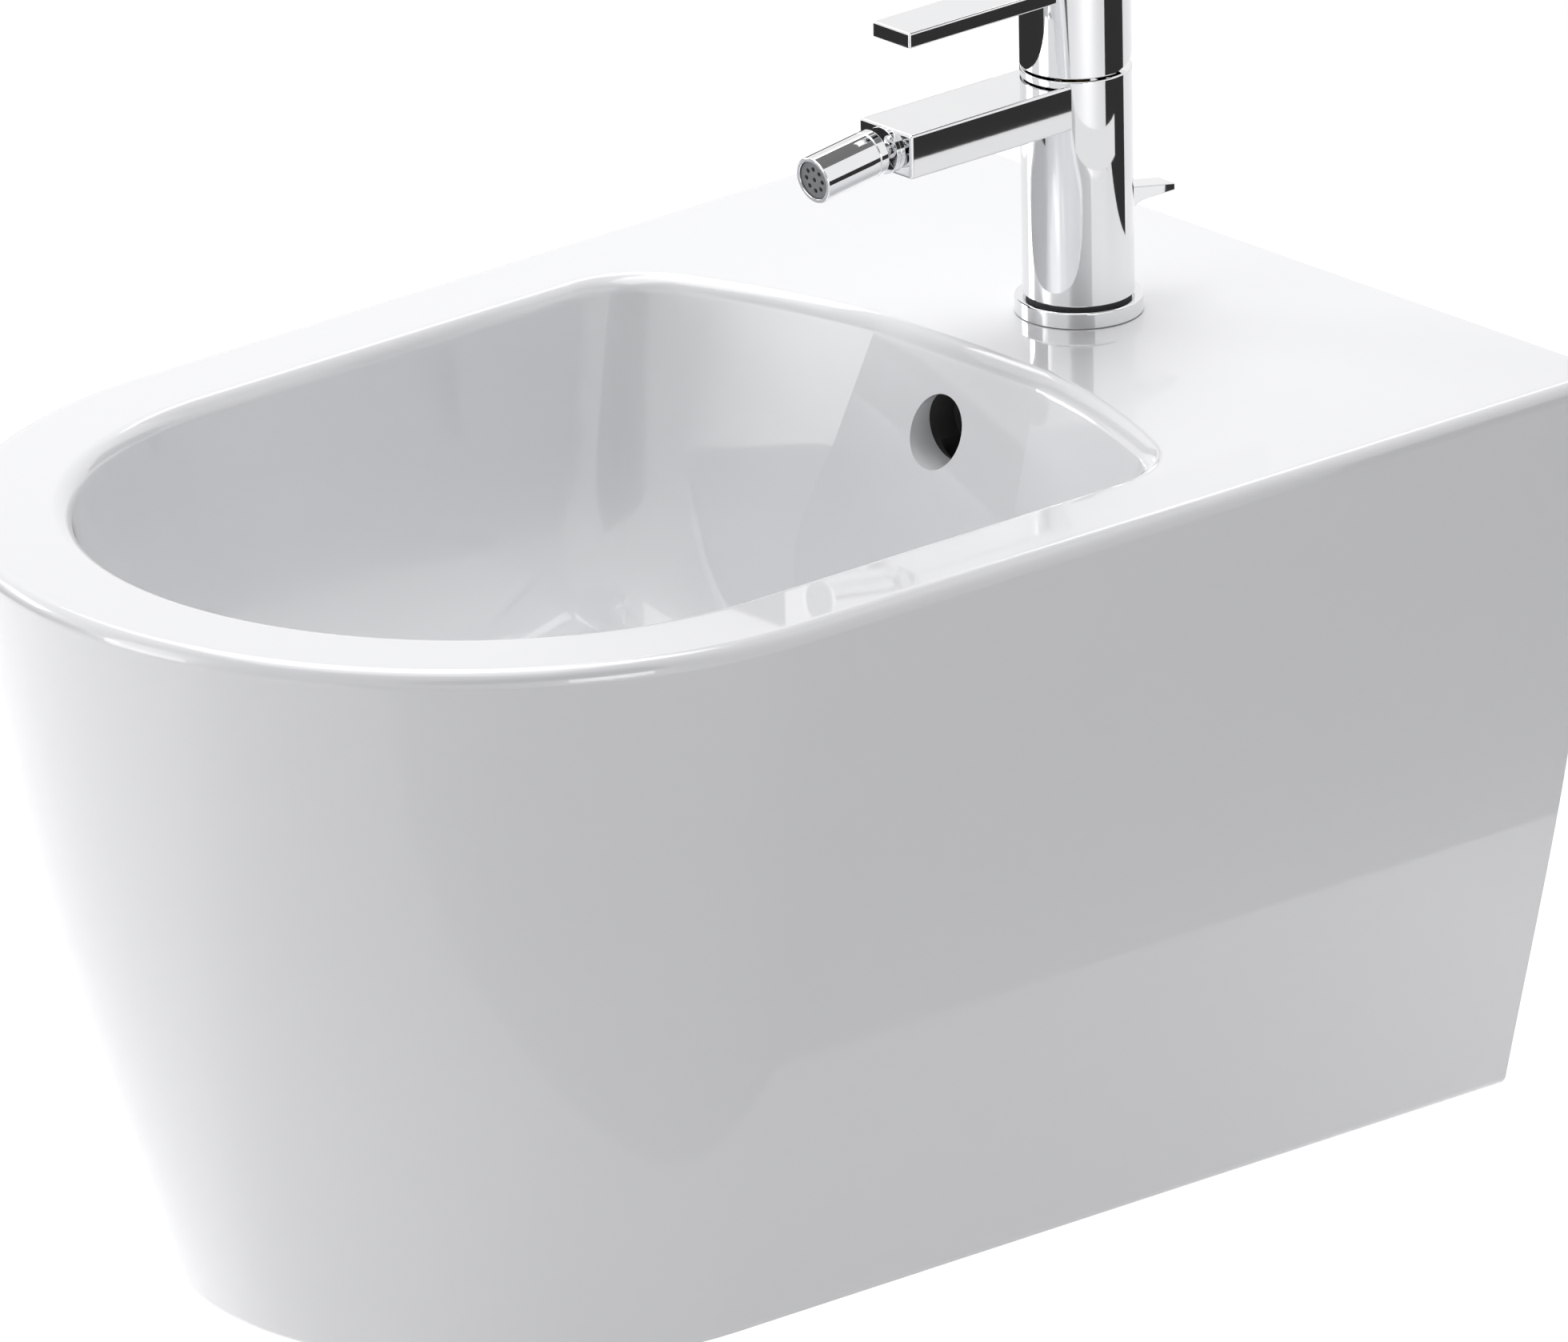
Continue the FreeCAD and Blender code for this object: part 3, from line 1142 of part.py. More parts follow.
pivot_place = (0, size.pivot_arm - size.waste_setback, rim - pivot_depth)
strap_arm = rod_y + size.waste_setback - size.pivot_arm
rod_front = -size.pivot_arm - size.pivot_rod_front
rod_rear = strap_arm + size.pivot_rod_rear
ball_meets = leg(size.pivot_ball_radius, size.pivot_rod_radius)
turned("pivot_rod", pivot_place, (
    (0, -rod_rear), (size.pivot_rod_radius, -rod_rear),
    (size.pivot_rod_radius, -ball_meets, size.pivot_ball_radius, 1),
    (size.pivot_ball_radius, 0, size.pivot_ball_radius, 1),
    (size.pivot_rod_radius, ball_meets),
    (size.pivot_rod_radius, -rod_front), (0, -rod_front)), X_AXIS, SQUARE_TURN)
clip = new_piece("rod_clip", (0, rod_y, rim - pivot_depth))
clip_half = size.clip_width / 2
clip_out = size.clip_gap + size.clip_thickness
block(clip, "clip_form", (-clip_half, -clip_out, -clip_half), (size.clip_reach, clip_out, clip_half))
block(clip, "clip_inside", (-clip_half - size.overcut, -size.clip_gap, -clip_half - size.overcut),
      (size.clip_reach - size.clip_thickness, size.clip_gap, clip_half + size.overcut), cut=True)
post(clip, "clip_hole", "XZ_Plane", (0, 0), -clip_out - size.overcut, size.pivot_rod_radius,
     2 * (clip_out + size.overcut), cut=True)


# Waste fitting in the bowl's floor

flange_top = -size.floor_drop
flange_low = flange_top - size.flange_thickness
waste_low = -waste_depth
shoulder_low = flange_low - size.shoulder_height
slot_top = -duct_mouth
slot_low = -duct_foot
waste = turned("waste_body", waste_place, (
    (size.waste_bore, waste_low), (size.waste_radius, waste_low),
    (size.waste_radius, shoulder_low), (size.shoulder_radius, shoulder_low),
    (size.shoulder_radius, flange_low), (size.flange_radius, flange_low),
    (size.flange_radius, flange_top), (size.seat_radius, flange_top),
    (size.waste_bore, flange_top - size.seat_depth)))
post(waste, "pivot_port", "XZ_Plane", (0, pivot_height), -size.port_reach, size.port_radius,
     size.port_reach - size.waste_bore / 2)
post(waste, "inner_bore", "XY_Plane", (0, 0), waste_low - size.overcut, size.waste_bore,
     waste_depth - size.floor_drop - size.seat_depth + size.overcut, cut=True)
post(waste, "port_hole", "XZ_Plane", (0, pivot_height), -size.port_reach - size.overcut, size.port_bore,
     size.port_reach + size.overcut, cut=True)
for side_name, side in (("rear", 1), ("front", -1)):
    far = side * (size.waste_radius + size.overcut)
    near = side * size.waste_bore / 2
    low_y, high_y = (near, far) if side > 0 else (far, near)
    block(waste, f"{side_name}_overflow_slot", (-size.overflow_slot / 2, low_y, slot_low),
          (size.overflow_slot / 2, high_y, slot_top), cut=True)
turned("waste_top_seal", waste_place, ring(
    size.waste_hole_radius, size.flange_radius - size.flange_gap,
    flange_low - size.top_seal_thickness, flange_low))
neck_low = -neck_depth
nut_top = neck_low - size.lower_seal_thickness
turned("waste_lower_seal", waste_place, ring(
    size.waste_radius + size.thread_gap, size.lower_seal_radius, nut_top, neck_low))
backnut = new_piece("waste_backnut", waste_place)
hexagon(backnut, "backnut_hexagon", -backnut_depth, size.backnut_flats, size.backnut_height)
post(backnut, "backnut_bore", "XY_Plane", (0, 0), -backnut_depth - size.overcut,
     size.waste_radius, size.backnut_height + 2 * size.overcut, cut=True)
tail_inner = size.tail_radius - size.tail_wall
turned("tailpiece", waste_place, (
    (tail_inner, waste_low - size.tail_length), (size.tail_radius, waste_low - size.tail_length),
    (size.tail_radius, waste_low), (size.waste_bore, waste_low),
    (size.waste_bore, waste_low + size.tail_grip), (tail_inner, waste_low + size.tail_grip)))
seat_sphere = size.pivot_ball_radius + size.running_gap
turned("pivot_seat", pivot_place, (
    (size.pivot_seat_bore, leg(seat_sphere, size.pivot_seat_bore)),
    (size.pivot_seat_bore, size.pivot_seat_front),
    (size.port_bore, size.pivot_seat_front),
    (size.port_bore, size.slide_gap),
    (leg(seat_sphere, size.slide_gap), size.slide_gap, seat_sphere, 1),
), X_AXIS, SQUARE_TURN)
nut_face = size.pivot_arm - size.port_reach
turned("pivot_nut", pivot_place, (
    (size.pivot_nut_bore, -leg(seat_sphere, size.pivot_nut_bore), seat_sphere, 1),
    (leg(seat_sphere, nut_face - size.slide_gap), nut_face - size.slide_gap),
    (size.port_radius, nut_face - size.slide_gap),
    (size.port_radius, size.pivot_nut_front),
    (size.pivot_nut_radius, size.pivot_nut_front),
    (size.pivot_nut_radius, -size.pivot_nut_rear),
    (size.pivot_nut_bore, -size.pivot_nut_rear),
), X_AXIS, SQUARE_TURN)


# Pop-up plug with its seal

plug_low = flange_top + size.plug_open
plug_top = plug_low + size.plug_thickness
plug_seal_low = plug_low - size.plug_seal_height
loop_radius = size.pivot_rod_radius + size.plug_loop_gap
loop_low = pivot_height - size.plug_loop
dome_radius = size.plug_radius * size.plug_radius / (2 * size.plug_crown) + size.plug_crown / 2
plug = turned("waste_plug", waste_place, (
    (0, loop_low), (size.plug_stem_radius, loop_low),
    (size.plug_stem_radius, plug_seal_low), (size.plug_seal_inner, plug_seal_low),
    (size.plug_seal_inner, plug_low), (size.plug_radius, plug_low),
    (size.plug_radius, plug_top, dome_radius, 1), (0, plug_top + size.plug_crown)))
for name, half_x, half_y in (("cross_fin", size.plug_guide_radius, size.plug_fin / 2),
                             ("long_fin", size.plug_fin / 2, size.plug_guide_radius)):
    block(plug, name, (-half_x, -half_y, size.overcut - duct_mouth), (half_x, half_y, plug_seal_low))
post(plug, "loop_hole", "XZ_Plane", (0, pivot_height), -2 * size.plug_stem_radius, loop_radius,
     4 * size.plug_stem_radius, cut=True)
turned("plug_seal", waste_place, ring(
    size.plug_seal_inner, size.plug_seal_radius, plug_seal_low, plug_low))


# Check every object and write each piece to its file

doc.recompute()
for thing in doc.Objects:
    if "Invalid" in thing.State or "Error" in thing.State:
        raise RuntimeError(f"{thing.Label} failed: {thing.State}")
os.makedirs("parts", exist_ok=True)
for piece in pieces:
    if piece.Shape.isNull() or not piece.Shape.isValid():
        raise RuntimeError(f"{piece.Label} has no valid shape")
for piece in pieces:
    piece.Shape.exportStep(f"parts/{piece.Label}.step")
    print(f"{piece.Label}: {len(piece.Shape.Solids)} solid, {piece.Shape.Volume / 1000:.2f} cm3")
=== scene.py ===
import json
import math

import bmesh
import bpy
from mathutils import Matrix, Vector


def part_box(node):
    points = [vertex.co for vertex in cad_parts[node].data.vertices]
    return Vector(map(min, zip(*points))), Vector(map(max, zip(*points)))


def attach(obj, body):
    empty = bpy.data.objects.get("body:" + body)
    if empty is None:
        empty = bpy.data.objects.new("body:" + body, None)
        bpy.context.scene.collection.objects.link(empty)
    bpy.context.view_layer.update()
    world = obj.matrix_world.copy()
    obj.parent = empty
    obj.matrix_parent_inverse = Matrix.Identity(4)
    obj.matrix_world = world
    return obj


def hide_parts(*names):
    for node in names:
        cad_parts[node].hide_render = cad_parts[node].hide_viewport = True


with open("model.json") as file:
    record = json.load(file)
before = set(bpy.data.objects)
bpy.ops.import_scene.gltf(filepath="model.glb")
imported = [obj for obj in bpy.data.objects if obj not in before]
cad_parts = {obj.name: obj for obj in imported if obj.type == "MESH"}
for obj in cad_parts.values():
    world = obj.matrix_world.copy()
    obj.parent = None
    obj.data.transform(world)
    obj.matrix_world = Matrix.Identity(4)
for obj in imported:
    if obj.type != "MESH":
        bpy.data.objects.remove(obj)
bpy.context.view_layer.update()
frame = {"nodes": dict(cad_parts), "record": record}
scene = bpy.context.scene
squareTurn = math.radians(90)
fullTurn = math.radians(360)
fineSegments, middleSegments, plainSegments = 128, 96, 64
cutterPhase = 0.37      # turns a cutter a little, so that its edges don't meet those of the piece
slabBevelSteps, prismBevelSteps = 5, 4
edgeSteps = 16          # over a rounded edge of the ceramic
glazeSharpAngle, metalSharpAngle = 7.0, 30.0
overcut = 0.001
print("frame loaded")


# Meshes

def newObject(name, bm):
    bmesh.ops.recalc_face_normals(bm, faces=bm.faces)
    mesh = bpy.data.meshes.new(name)
    bm.to_mesh(mesh)
    bm.free()
    obj = bpy.data.objects.new(name, mesh)
    scene.collection.objects.link(obj)
    return obj


def facing(origin, direction):
    # A place at the origin whose Z axis points along the direction.
    turn = Vector(direction).to_track_quat("Z", "Y").to_matrix().to_4x4()
    return Matrix.Translation(origin) @ turn


def eased(corners, steps=6):
    # A closed outline from corners (x, y), or (x, y, radius) where the corner is rounded.
    points = []
    for number, corner in enumerate(corners):
        here = Vector(corner[:2])
        if len(corner) == 2:
            points.append(here)
            continue
        toBefore = (Vector(corners[number - 1][:2]) - here).normalized()
        toAfter = (Vector(corners[(number + 1) % len(corners)][:2]) - here).normalized()
        halfAngle = toBefore.angle(toAfter) / 2
        middle = here + (toBefore + toAfter).normalized() * corner[2] / math.sin(halfAngle)
        reach = corner[2] / math.tan(halfAngle)
        first = (here + toBefore * reach - middle).normalized()
        last = (here + toAfter * reach - middle).normalized()
        points += [middle + first.slerp(last, step / steps) * corner[2] for step in range(steps + 1)]
    return points


def arc(radius, start, end, steps=12):
    # Outline corners (across, along) on a circle about the origin; the angles run from the turning axis.
    angles = [math.radians(start + (end - start) * step / steps) for step in range(steps + 1)]
    return [(radius * math.sin(angle), radius * math.cos(angle)) for angle in angles]


def loft(name, rings, capped=True):
    # Skins closed rings that have equally many points.
    # The ends are capped, or the last ring meets the first.
    bm = bmesh.new()
    rows = [[bm.verts.new(point) for point in ring] for ring in rings]
    for row, nextRow in zip(rows, rows[1:] if capped else rows[1:] + rows[:1]):
        for here in range(len(row)):
            after = (here + 1) % len(row)
            bm.faces.new((row[here], row[after], nextRow[after], nextRow[here]))
    if capped:
        bm.faces.new(rows[0])
        bm.faces.new(rows[-1])
    return newObject(name, bm)


def lathe(name, corners, place, segments=fineSegments, phase=0.0):
    # Turns an outline (distance from the axis, height) about the place's Z axis.
    # An outline that starts on the axis also ends on it and gives a solid, any other gives a ring.
    angles = [fullTurn * (segment + phase) / segments for segment in range(segments)]
    rings = [
        [place @ Vector((point.x * math.cos(angle), point.x * math.sin(angle), point.y))
         for angle in angles]
        for point in eased(corners) if point.x > 0.0]
    return loft(name, rings, corners[0][0] == 0.0)


def rod(name, place, radius, start, end, segments=plainSegments):
    # A plain round cutter or core.
    outline = ((0.0, start), (radius, start), (radius, end), (0.0, end))
    return lathe(name, outline, place, segments, cutterPhase)


def slab(name, low, high, edge=0.0):
    # A box, with its edges rounded if an edge radius is given.
    bm = bmesh.new()
    bmesh.ops.create_cube(bm, size=1)
    for vert in bm.verts:
        vert.co = Vector([a + (b - a) * (share + 0.5) for a, b, share in zip(low, high, vert.co)])
    if edge:
        bmesh.ops.bevel(bm, geom=bm.edges[:], offset=edge, segments=slabBevelSteps,
                        profile=0.5, affect="EDGES")
    return newObject(name, bm)


def prism(name, outline, halfWidth, edge=0.0):
    # An outline of (y, z) points, carried across X to both sides of the middle.
    bm = bmesh.new()
    rows = [[bm.verts.new((side, y, z)) for y, z in outline] for side in (-halfWidth, halfWidth)]
    for here in range(len(outline)):
        after = (here + 1) % len(outline)
        bm.faces.new((rows[0][here], rows[0][after], rows[1][after], rows[1][here]))
    for row in rows:
        bm.faces.new(row)
    if edge:
        bmesh.ops.recalc_face_normals(bm, faces=bm.faces)
        bmesh.ops.bevel(bm, geom=bm.edges[:], offset=edge, segments=prismBevelSteps,
                        profile=0.5, affect="EDGES")
    return newObject(name, bm)


def combine(obj, other, operation):
    modifier = obj.modifiers.new(operation, "BOOLEAN")
    modifier.operation = operation
    modifier.solver = "EXACT"
    modifier.object = other
    graph = bpy.context.evaluated_depsgraph_get()
    result = bpy.data.meshes.new_from_object(obj.evaluated_get(graph))
    obj.modifiers.clear()
    spent = [obj.data, other.data]
    obj.data = result
    bpy.data.objects.remove(other)
    for mesh in spent:
        bpy.data.meshes.remove(mesh)


def cut(obj, *tools):
    for tool in tools:
        combine(obj, tool, "DIFFERENCE")


def join(obj, *others):
    for other in others:
        combine(obj, other, "UNION")


def settle(obj, body, nodes, slot, sharpAngle):
    # Smooth shading up to the sharp angle, the slot's finish, and the body that carries the piece.
    obj.data.shade_smooth()
    obj.data.set_sharp_from_angle(angle=math.radians(sharpAngle))
    weighting = obj.modifiers.new("weighting", "WEIGHTED_NORMAL")
    weighting.keep_sharp = True
    if not obj.data.materials:
        obj.data.materials.append(finishes[slot])
    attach(obj, body)
    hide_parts(*nodes)


# Shaders

class Wire:
    # A value in a shader: the operators add maths nodes to the tree that it belongs to.
    def __init__(self, tree, socket):
        self.tree = tree
        self.socket = socket

    def maths(self, operation, first, second):
        node = self.tree.nodes.new("ShaderNodeMath")
        node.operation = operation
        for socket, value in zip(node.inputs, (first, second)):
            feed(self.tree, socket, value)
        return Wire(self.tree, node.outputs[0])

    def __add__(self, other):
        return self.maths("ADD", self, other)

    def __sub__(self, other):
        return self.maths("SUBTRACT", self, other)

    def __rsub__(self, other):
        return self.maths("SUBTRACT", other, self)

    def __mul__(self, other):
        return self.maths("MULTIPLY", self, other)

    def largest(self, other):
        return self.maths("MAXIMUM", self, other)

    __radd__ = __add__
    __rmul__ = __mul__


def feed(tree, socket, value):
    if isinstance(value, Wire):
        tree.links.new(value.socket, socket)
    else:
        socket.default_value = value


class Tree:
    # A node tree that is filled one node at a time.
    def __init__(self, owner):
        owner.use_nodes = True
        self.tree = owner.node_tree
        self.tree.nodes.clear()

    def node(self, kind, settings, sockets, output=0):
        made = self.tree.nodes.new(kind)
        for name, value in settings.items():
            setattr(made, name, value)
        for name, value in sockets.items():
            feed(self.tree, made.inputs[name], value)
        return Wire(self.tree, made.outputs[output]) if made.outputs else None


def newFinish(name, look):
    # A finish whose colour, roughness and surface vary a little over the piece.
    material = bpy.data.materials.new(name)
    tree = Tree(material)
    place = tree.node("ShaderNodeTexCoord", {}, {}, "Object")
    stretched = tree.node("ShaderNodeVectorMath", {"operation": "MULTIPLY"}, {0: place, 1: look["stretch"]})
    cloud = tree.node("ShaderNodeTexNoise", {}, {
        "Vector": stretched, "Scale": look["patch"],
        "Detail": look["patchDetail"], "Roughness": look["patchRoughness"]})
    grain = tree.node("ShaderNodeTexNoise", {}, {
        "Vector": stretched, "Scale": look["grain"],
        "Detail": look["grainDetail"], "Roughness": look["grainRoughness"]})
    tint = tree.node("ShaderNodeMix", {"data_type": "RGBA"}, {
        "Factor": cloud, "A": (*look["pale"], 1.0), "B": (*look["deep"], 1.0)}, 2)
    relief = tree.node("ShaderNodeBump", {}, {
        "Strength": look["relief"], "Distance": look["reliefDepth"], "Height": grain})
    shader = tree.node("ShaderNodeBsdfPrincipled", {}, {
        "Base Color": tint,
        "Metallic": look["metallic"],
        "Roughness": look["roughness"] + look["unevenness"] * (grain - 0.5),
        "Normal": relief,
        "Coat Weight": look["coat"],
        "Coat Roughness": look["coatRoughness"],
    })
    tree.node("ShaderNodeOutputMaterial", {}, {"Surface": shader})
    return material


plainLook = {
    "pale": (0.8, 0.8, 0.8), "deep": (0.76, 0.76, 0.76), "stretch": (1.0, 1.0, 1.0),
    "patch": 9.0, "patchDetail": 3.0, "patchRoughness": 0.5,
    "grain": 240.0, "grainDetail": 2.0, "grainRoughness": 0.6,
    "relief": 0.05, "reliefDepth": 0.0002, "metallic": 0.0, "roughness": 0.45, "unevenness": 0.1,
    "coat": 0.0, "coatRoughness": 0.03,
}
looks = {
    "ceramic": {
        "pale": (0.86, 0.865, 0.88), "deep": (0.845, 0.852, 0.868), "patch": 5.0, "grain": 70.0,
        "relief": 0.02, "reliefDepth": 0.0004, "roughness": 0.3, "unevenness": 0.06,
        "coat": 1.0, "coatRoughness": 0.035,
    },
    "chrome": {
        "pale": (0.84, 0.845, 0.85), "deep": (0.8, 0.805, 0.815), "patch": 30.0, "grain": 500.0,
        "relief": 0.01, "reliefDepth": 0.00005, "metallic": 1.0, "roughness": 0.05, "unevenness": 0.03,
    },
    # Painted shade: a near-black finish for the insides of the overflow duct and hole, standing in for the
    # shade deep inside them.
    "paintedDuctShade": {
        "pale": (0.06, 0.06, 0.058), "deep": (0.04, 0.04, 0.038), "patch": 40.0, "grain": 700.0,
        "relief": 0.3, "roughness": 0.8,
    },
    "disc_ceramic": {"pale": (0.86, 0.84, 0.78), "deep": (0.8, 0.78, 0.72), "roughness": 0.25},
    "black_rubber": {
        "pale": (0.03, 0.03, 0.032), "deep": (0.018, 0.018, 0.02), "patch": 60.0, "grain": 900.0,
        "relief": 0.25, "roughness": 0.7,
    },
    "white_plastic": {
        "pale": (0.8, 0.8, 0.77), "deep": (0.74, 0.74, 0.71), "grain": 600.0, "roughness": 0.5,
    },
    "grey_plastic": {
        "pale": (0.24, 0.245, 0.25), "deep": (0.19, 0.195, 0.2), "grain": 700.0, "roughness": 0.5,
    },
    "cover_plastic": {
        "pale": (0.5, 0.505, 0.52), "deep": (0.45, 0.455, 0.47), "grain": 500.0, "roughness": 0.25,
    },
    "steel": {
        "pale": (0.6, 0.6, 0.61), "deep": (0.5, 0.5, 0.515), "stretch": (1.0, 1.0, 0.08), "patch": 120.0,
        "grain": 1800.0, "relief": 0.08, "metallic": 1.0, "roughness": 0.32,
    },
    "brass": {
        "pale": (0.78, 0.58, 0.28), "deep": (0.68, 0.48, 0.2), "stretch": (1.0, 1.0, 0.1), "patch": 90.0,
        "grain": 1500.0, "relief": 0.08, "metallic": 1.0, "roughness": 0.3,
    },
}
finishes = {slot: newFinish(slot, {**plainLook, **look}) for slot, look in looks.items()}
for subpart in frame["record"]["subparts"]:
    node = frame["nodes"][subpart["node"]]
    node.data.materials.clear()
    node.data.materials.append(finishes[subpart["material_slot"]])
print("finishes made")


# Ceramic body: D-shaped skirt, flat deck and the bowl with its flat overflow panel

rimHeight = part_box("ceramic_body")[1].z
skirt = {
    "depth": (0.0, 0.145, 0.29),
    "half": (0.1859, 0.161, 0.123),
    "length": (0.571, 0.5415, 0.494),
    "hollowDepth": (0.05, 0.1, 0.145, 0.19, 0.24),
    "wall": 0.012,
    "backWall": 0.014,
    "deck": 0.014,
    "rimEdge": 0.007,
    "footEdge": 0.004,
}
bowl = {
    "depth": (0.0, 0.042, 0.084, 0.12, 0.14),
    "half": (0.146, 0.138, 0.126, 0.094, 0.044),
    "front": (0.529, 0.517, 0.493, 0.434, 0.344),
    "rear": (0.147, 0.1625, 0.178, 0.193, 0.211),
    "curve": (0.31, 0.31, 0.31, 0.25, 0.12),
    "corner": (0.035, 0.04, 0.045, 0.045, 0.03),
    "panel": (0.043, 0.0485, 0.054, 0.032, 0.01),
    "edge": 0.006,
    "wall": 0.011,
    "deepening": 0.1,
}
ceramicHoles = {
    "wasteY": -0.25, "wasteRadius": 0.023, "neckRadius": 0.037, "neckDepth": 0.182,
    "recessRadius": 0.0323, "recessDepth": 0.1436,
    "tapY": -0.0915, "tapRadius": 0.0175,
    # Deeper than a short white edge, the overflow hole's wall is painted shade.
    "overflowRadius": 0.013, "overflowDepth": 0.03, "overflowShadeDepth": 0.005,
    "ductHalf": 0.01, "ductDepth": 0.012, "ductWall": 0.009, "ductTop": 0.017, "ductMouth": 0.156,
    "studX": 0.09, "studRadius": 0.0102,
    "windowHalf": 0.065, "windowDepth": 0.112,
}
wasteAxis = Matrix.Translation((0.0, ceramicHoles["wasteY"], rimHeight))
tapAxis = Matrix.Translation((0.0, ceramicHoles["tapY"], rimHeight))


def through(values, place, lastSlope=None):
    # A smooth curve through evenly numbered values.
    last = len(values) - 1

    def slope(number):
        if number == last and lastSlope is not None:
            return lastSlope
        before, after = max(number - 1, 0), min(number + 1, last)
        return (values[after] - values[before]) / (after - before)

    start = min(int(place), last - 1)
    t = place - start
    return ((1 + 2 * t) * (1 - t) ** 2 * values[start] + t * (1 - t) ** 2 * slope(start)
            + t * t * (3 - 2 * t) * values[start + 1] - t * t * (1 - t) * slope(start + 1))


def skirtRing(depth, inset, rear):
    # One section of the skirt: straight sides and a half-round front.
    place = depth / skirt["depth"][1]
    half = through(skirt["half"], place) - inset
    straight = through(skirt["length"], place) - inset - half
    sideSteps, frontSteps, rearSteps = 24, 56, 16
    ring = [(half - 2 * half * step / rearSteps, rear) for step in range(rearSteps)]
    ring += [(-half, rear - (straight + rear) * step / sideSteps) for step in range(sideSteps)]
    for step in range(2 * frontSteps):
        angle = squareTurn * step / frontSteps
        ring.append((-half * math.cos(angle), -straight - half * math.sin(angle)))
    ring += [(half, -straight + (straight + rear) * step / sideSteps) for step in range(sideSteps)]
    return [(x, y, rimHeight - depth) for x, y in ring]


def skirtRings():
    height, rimEdge, footEdge = skirt["depth"][-1], skirt["rimEdge"], skirt["footEdge"]
    turns = [squareTurn * step / edgeSteps for step in range(edgeSteps + 1)]
    rings = [skirtRing(rimEdge * (1 - math.cos(a)), rimEdge * (1 - math.sin(a)), 0.0) for a in turns]
    wallSteps = 40
    span = height - rimEdge - footEdge
    rings += [skirtRing(rimEdge + span * step / wallSteps, 0.0, 0.0) for step in range(1, wallSteps)]
    rings += [skirtRing(height - footEdge * (1 - math.cos(a)), footEdge * (1 - math.sin(a)), 0.0)
              for a in reversed(turns)]
    return rings


def bowlRing(place, grow, depth):
    # One section of the bowl, grown by a wall: panel, curved rear, rear corner, side and half-round front.
    half = through(bowl["half"], place) + grow
    curve = through(bowl["curve"], place) + grow
    corner = through(bowl["corner"], place) + grow
    panel = through(bowl["panel"], place)
    middle = grow - through(bowl["rear"], place) - curve
    frontMiddle = half - grow - through(bowl["front"], place)
    cornerX = half - corner
    cornerRise = math.sqrt((curve - corner) ** 2 - cornerX ** 2)
    cornerY = middle + cornerRise
    panelTurn = math.asin(panel / curve)
    cornerTurn = math.atan2(cornerX, cornerRise)
    panelSteps, curveSteps, cornerSteps, sideSteps, frontSteps = 8, 16, 20, 20, 48
    panelY = middle + curve * math.cos(panelTurn)
    right = [(panel * step / panelSteps, panelY) for step in range(panelSteps)]
    for step in range(curveSteps):
        angle = panelTurn + (cornerTurn - panelTurn) * step / curveSteps
        right.append((curve * math.sin(angle), middle + curve * math.cos(angle)))
    for step in range(cornerSteps):
        angle = cornerTurn + (squareTurn - cornerTurn) * step / cornerSteps
        right.append((cornerX + corner * math.sin(angle), cornerY + corner * math.cos(angle)))
    right += [(half, cornerY + (frontMiddle - cornerY) * step / sideSteps) for step in range(sideSteps)]
    for step in range(frontSteps + 1):
        angle = squareTurn * step / frontSteps
        right.append((half * math.cos(angle), frontMiddle - half * math.sin(angle)))
    ring = right + [(-x, y) for x, y in reversed(right[1:-1])]
    return [(x, y, rimHeight - depth) for x, y in ring]


def bowlDepth(place):
    return through(bowl["depth"], place, 0.0)


def bowlRings():
    # The bowl's edge flares out round its rounding, then the wall runs down to the floor.
    edge = bowl["edge"]
    lastLevel = len(bowl["depth"]) - 1
    rings = [bowlRing(0.0, edge, -overcut)]
    for step in range(edgeSteps + 1):
        angle = squareTurn * step / edgeSteps
        depth = edge * (1 - math.cos(angle))
        rings.append(bowlRing(depth / bowl["depth"][1], edge * (1 - math.sin(angle)), depth))
    start = edge / bowl["depth"][1]
    wallSteps = 72
    places = [start + (lastLevel - start) * step / wallSteps for step in range(1, wallSteps + 1)]
    return rings + [bowlRing(place, 0.0, bowlDepth(place)) for place in places]


def shellRings():
    wall, deepening = bowl["wall"], 1 + bowl["deepening"]
    lastLevel = len(bowl["depth"]) - 1
    shellSteps, firstStep = 32, 2      # the steps before the first lie inside the deck
    rings = []
    for step in range(firstStep, shellSteps + 1):
        place = lastLevel * step / shellSteps
        rings.append(bowlRing(place, wall, max(bowlDepth(place) * deepening, skirt["deck"] / 2)))
    return rings


def hollowRings():
    levels = (skirt["deck"], *skirt["hollowDepth"], skirt["depth"][-1])
    rings = [skirtRing(depth, skirt["wall"], -skirt["backWall"]) for depth in levels]
    return rings + [[(x, y, z - overcut) for x, y, z in rings[-1]]]


def behindBowl(depth, behind):
    # A point (y, z) behind the bowl's leaning rear wall.
    lean = (bowl["rear"][1] - bowl["rear"][0]) / bowl["depth"][1]
    return (behind - bowl["rear"][0] - lean * depth, rimHeight - depth)


def ductOutline(top, mouth, foot, near, far):
    wasteY = ceramicHoles["wasteY"]
    return (behindBowl(top, near), behindBowl(mouth, near), (wasteY, rimHeight - mouth),
            (wasteY, rimHeight - foot), behindBowl(foot, far), behindBowl(top, far))


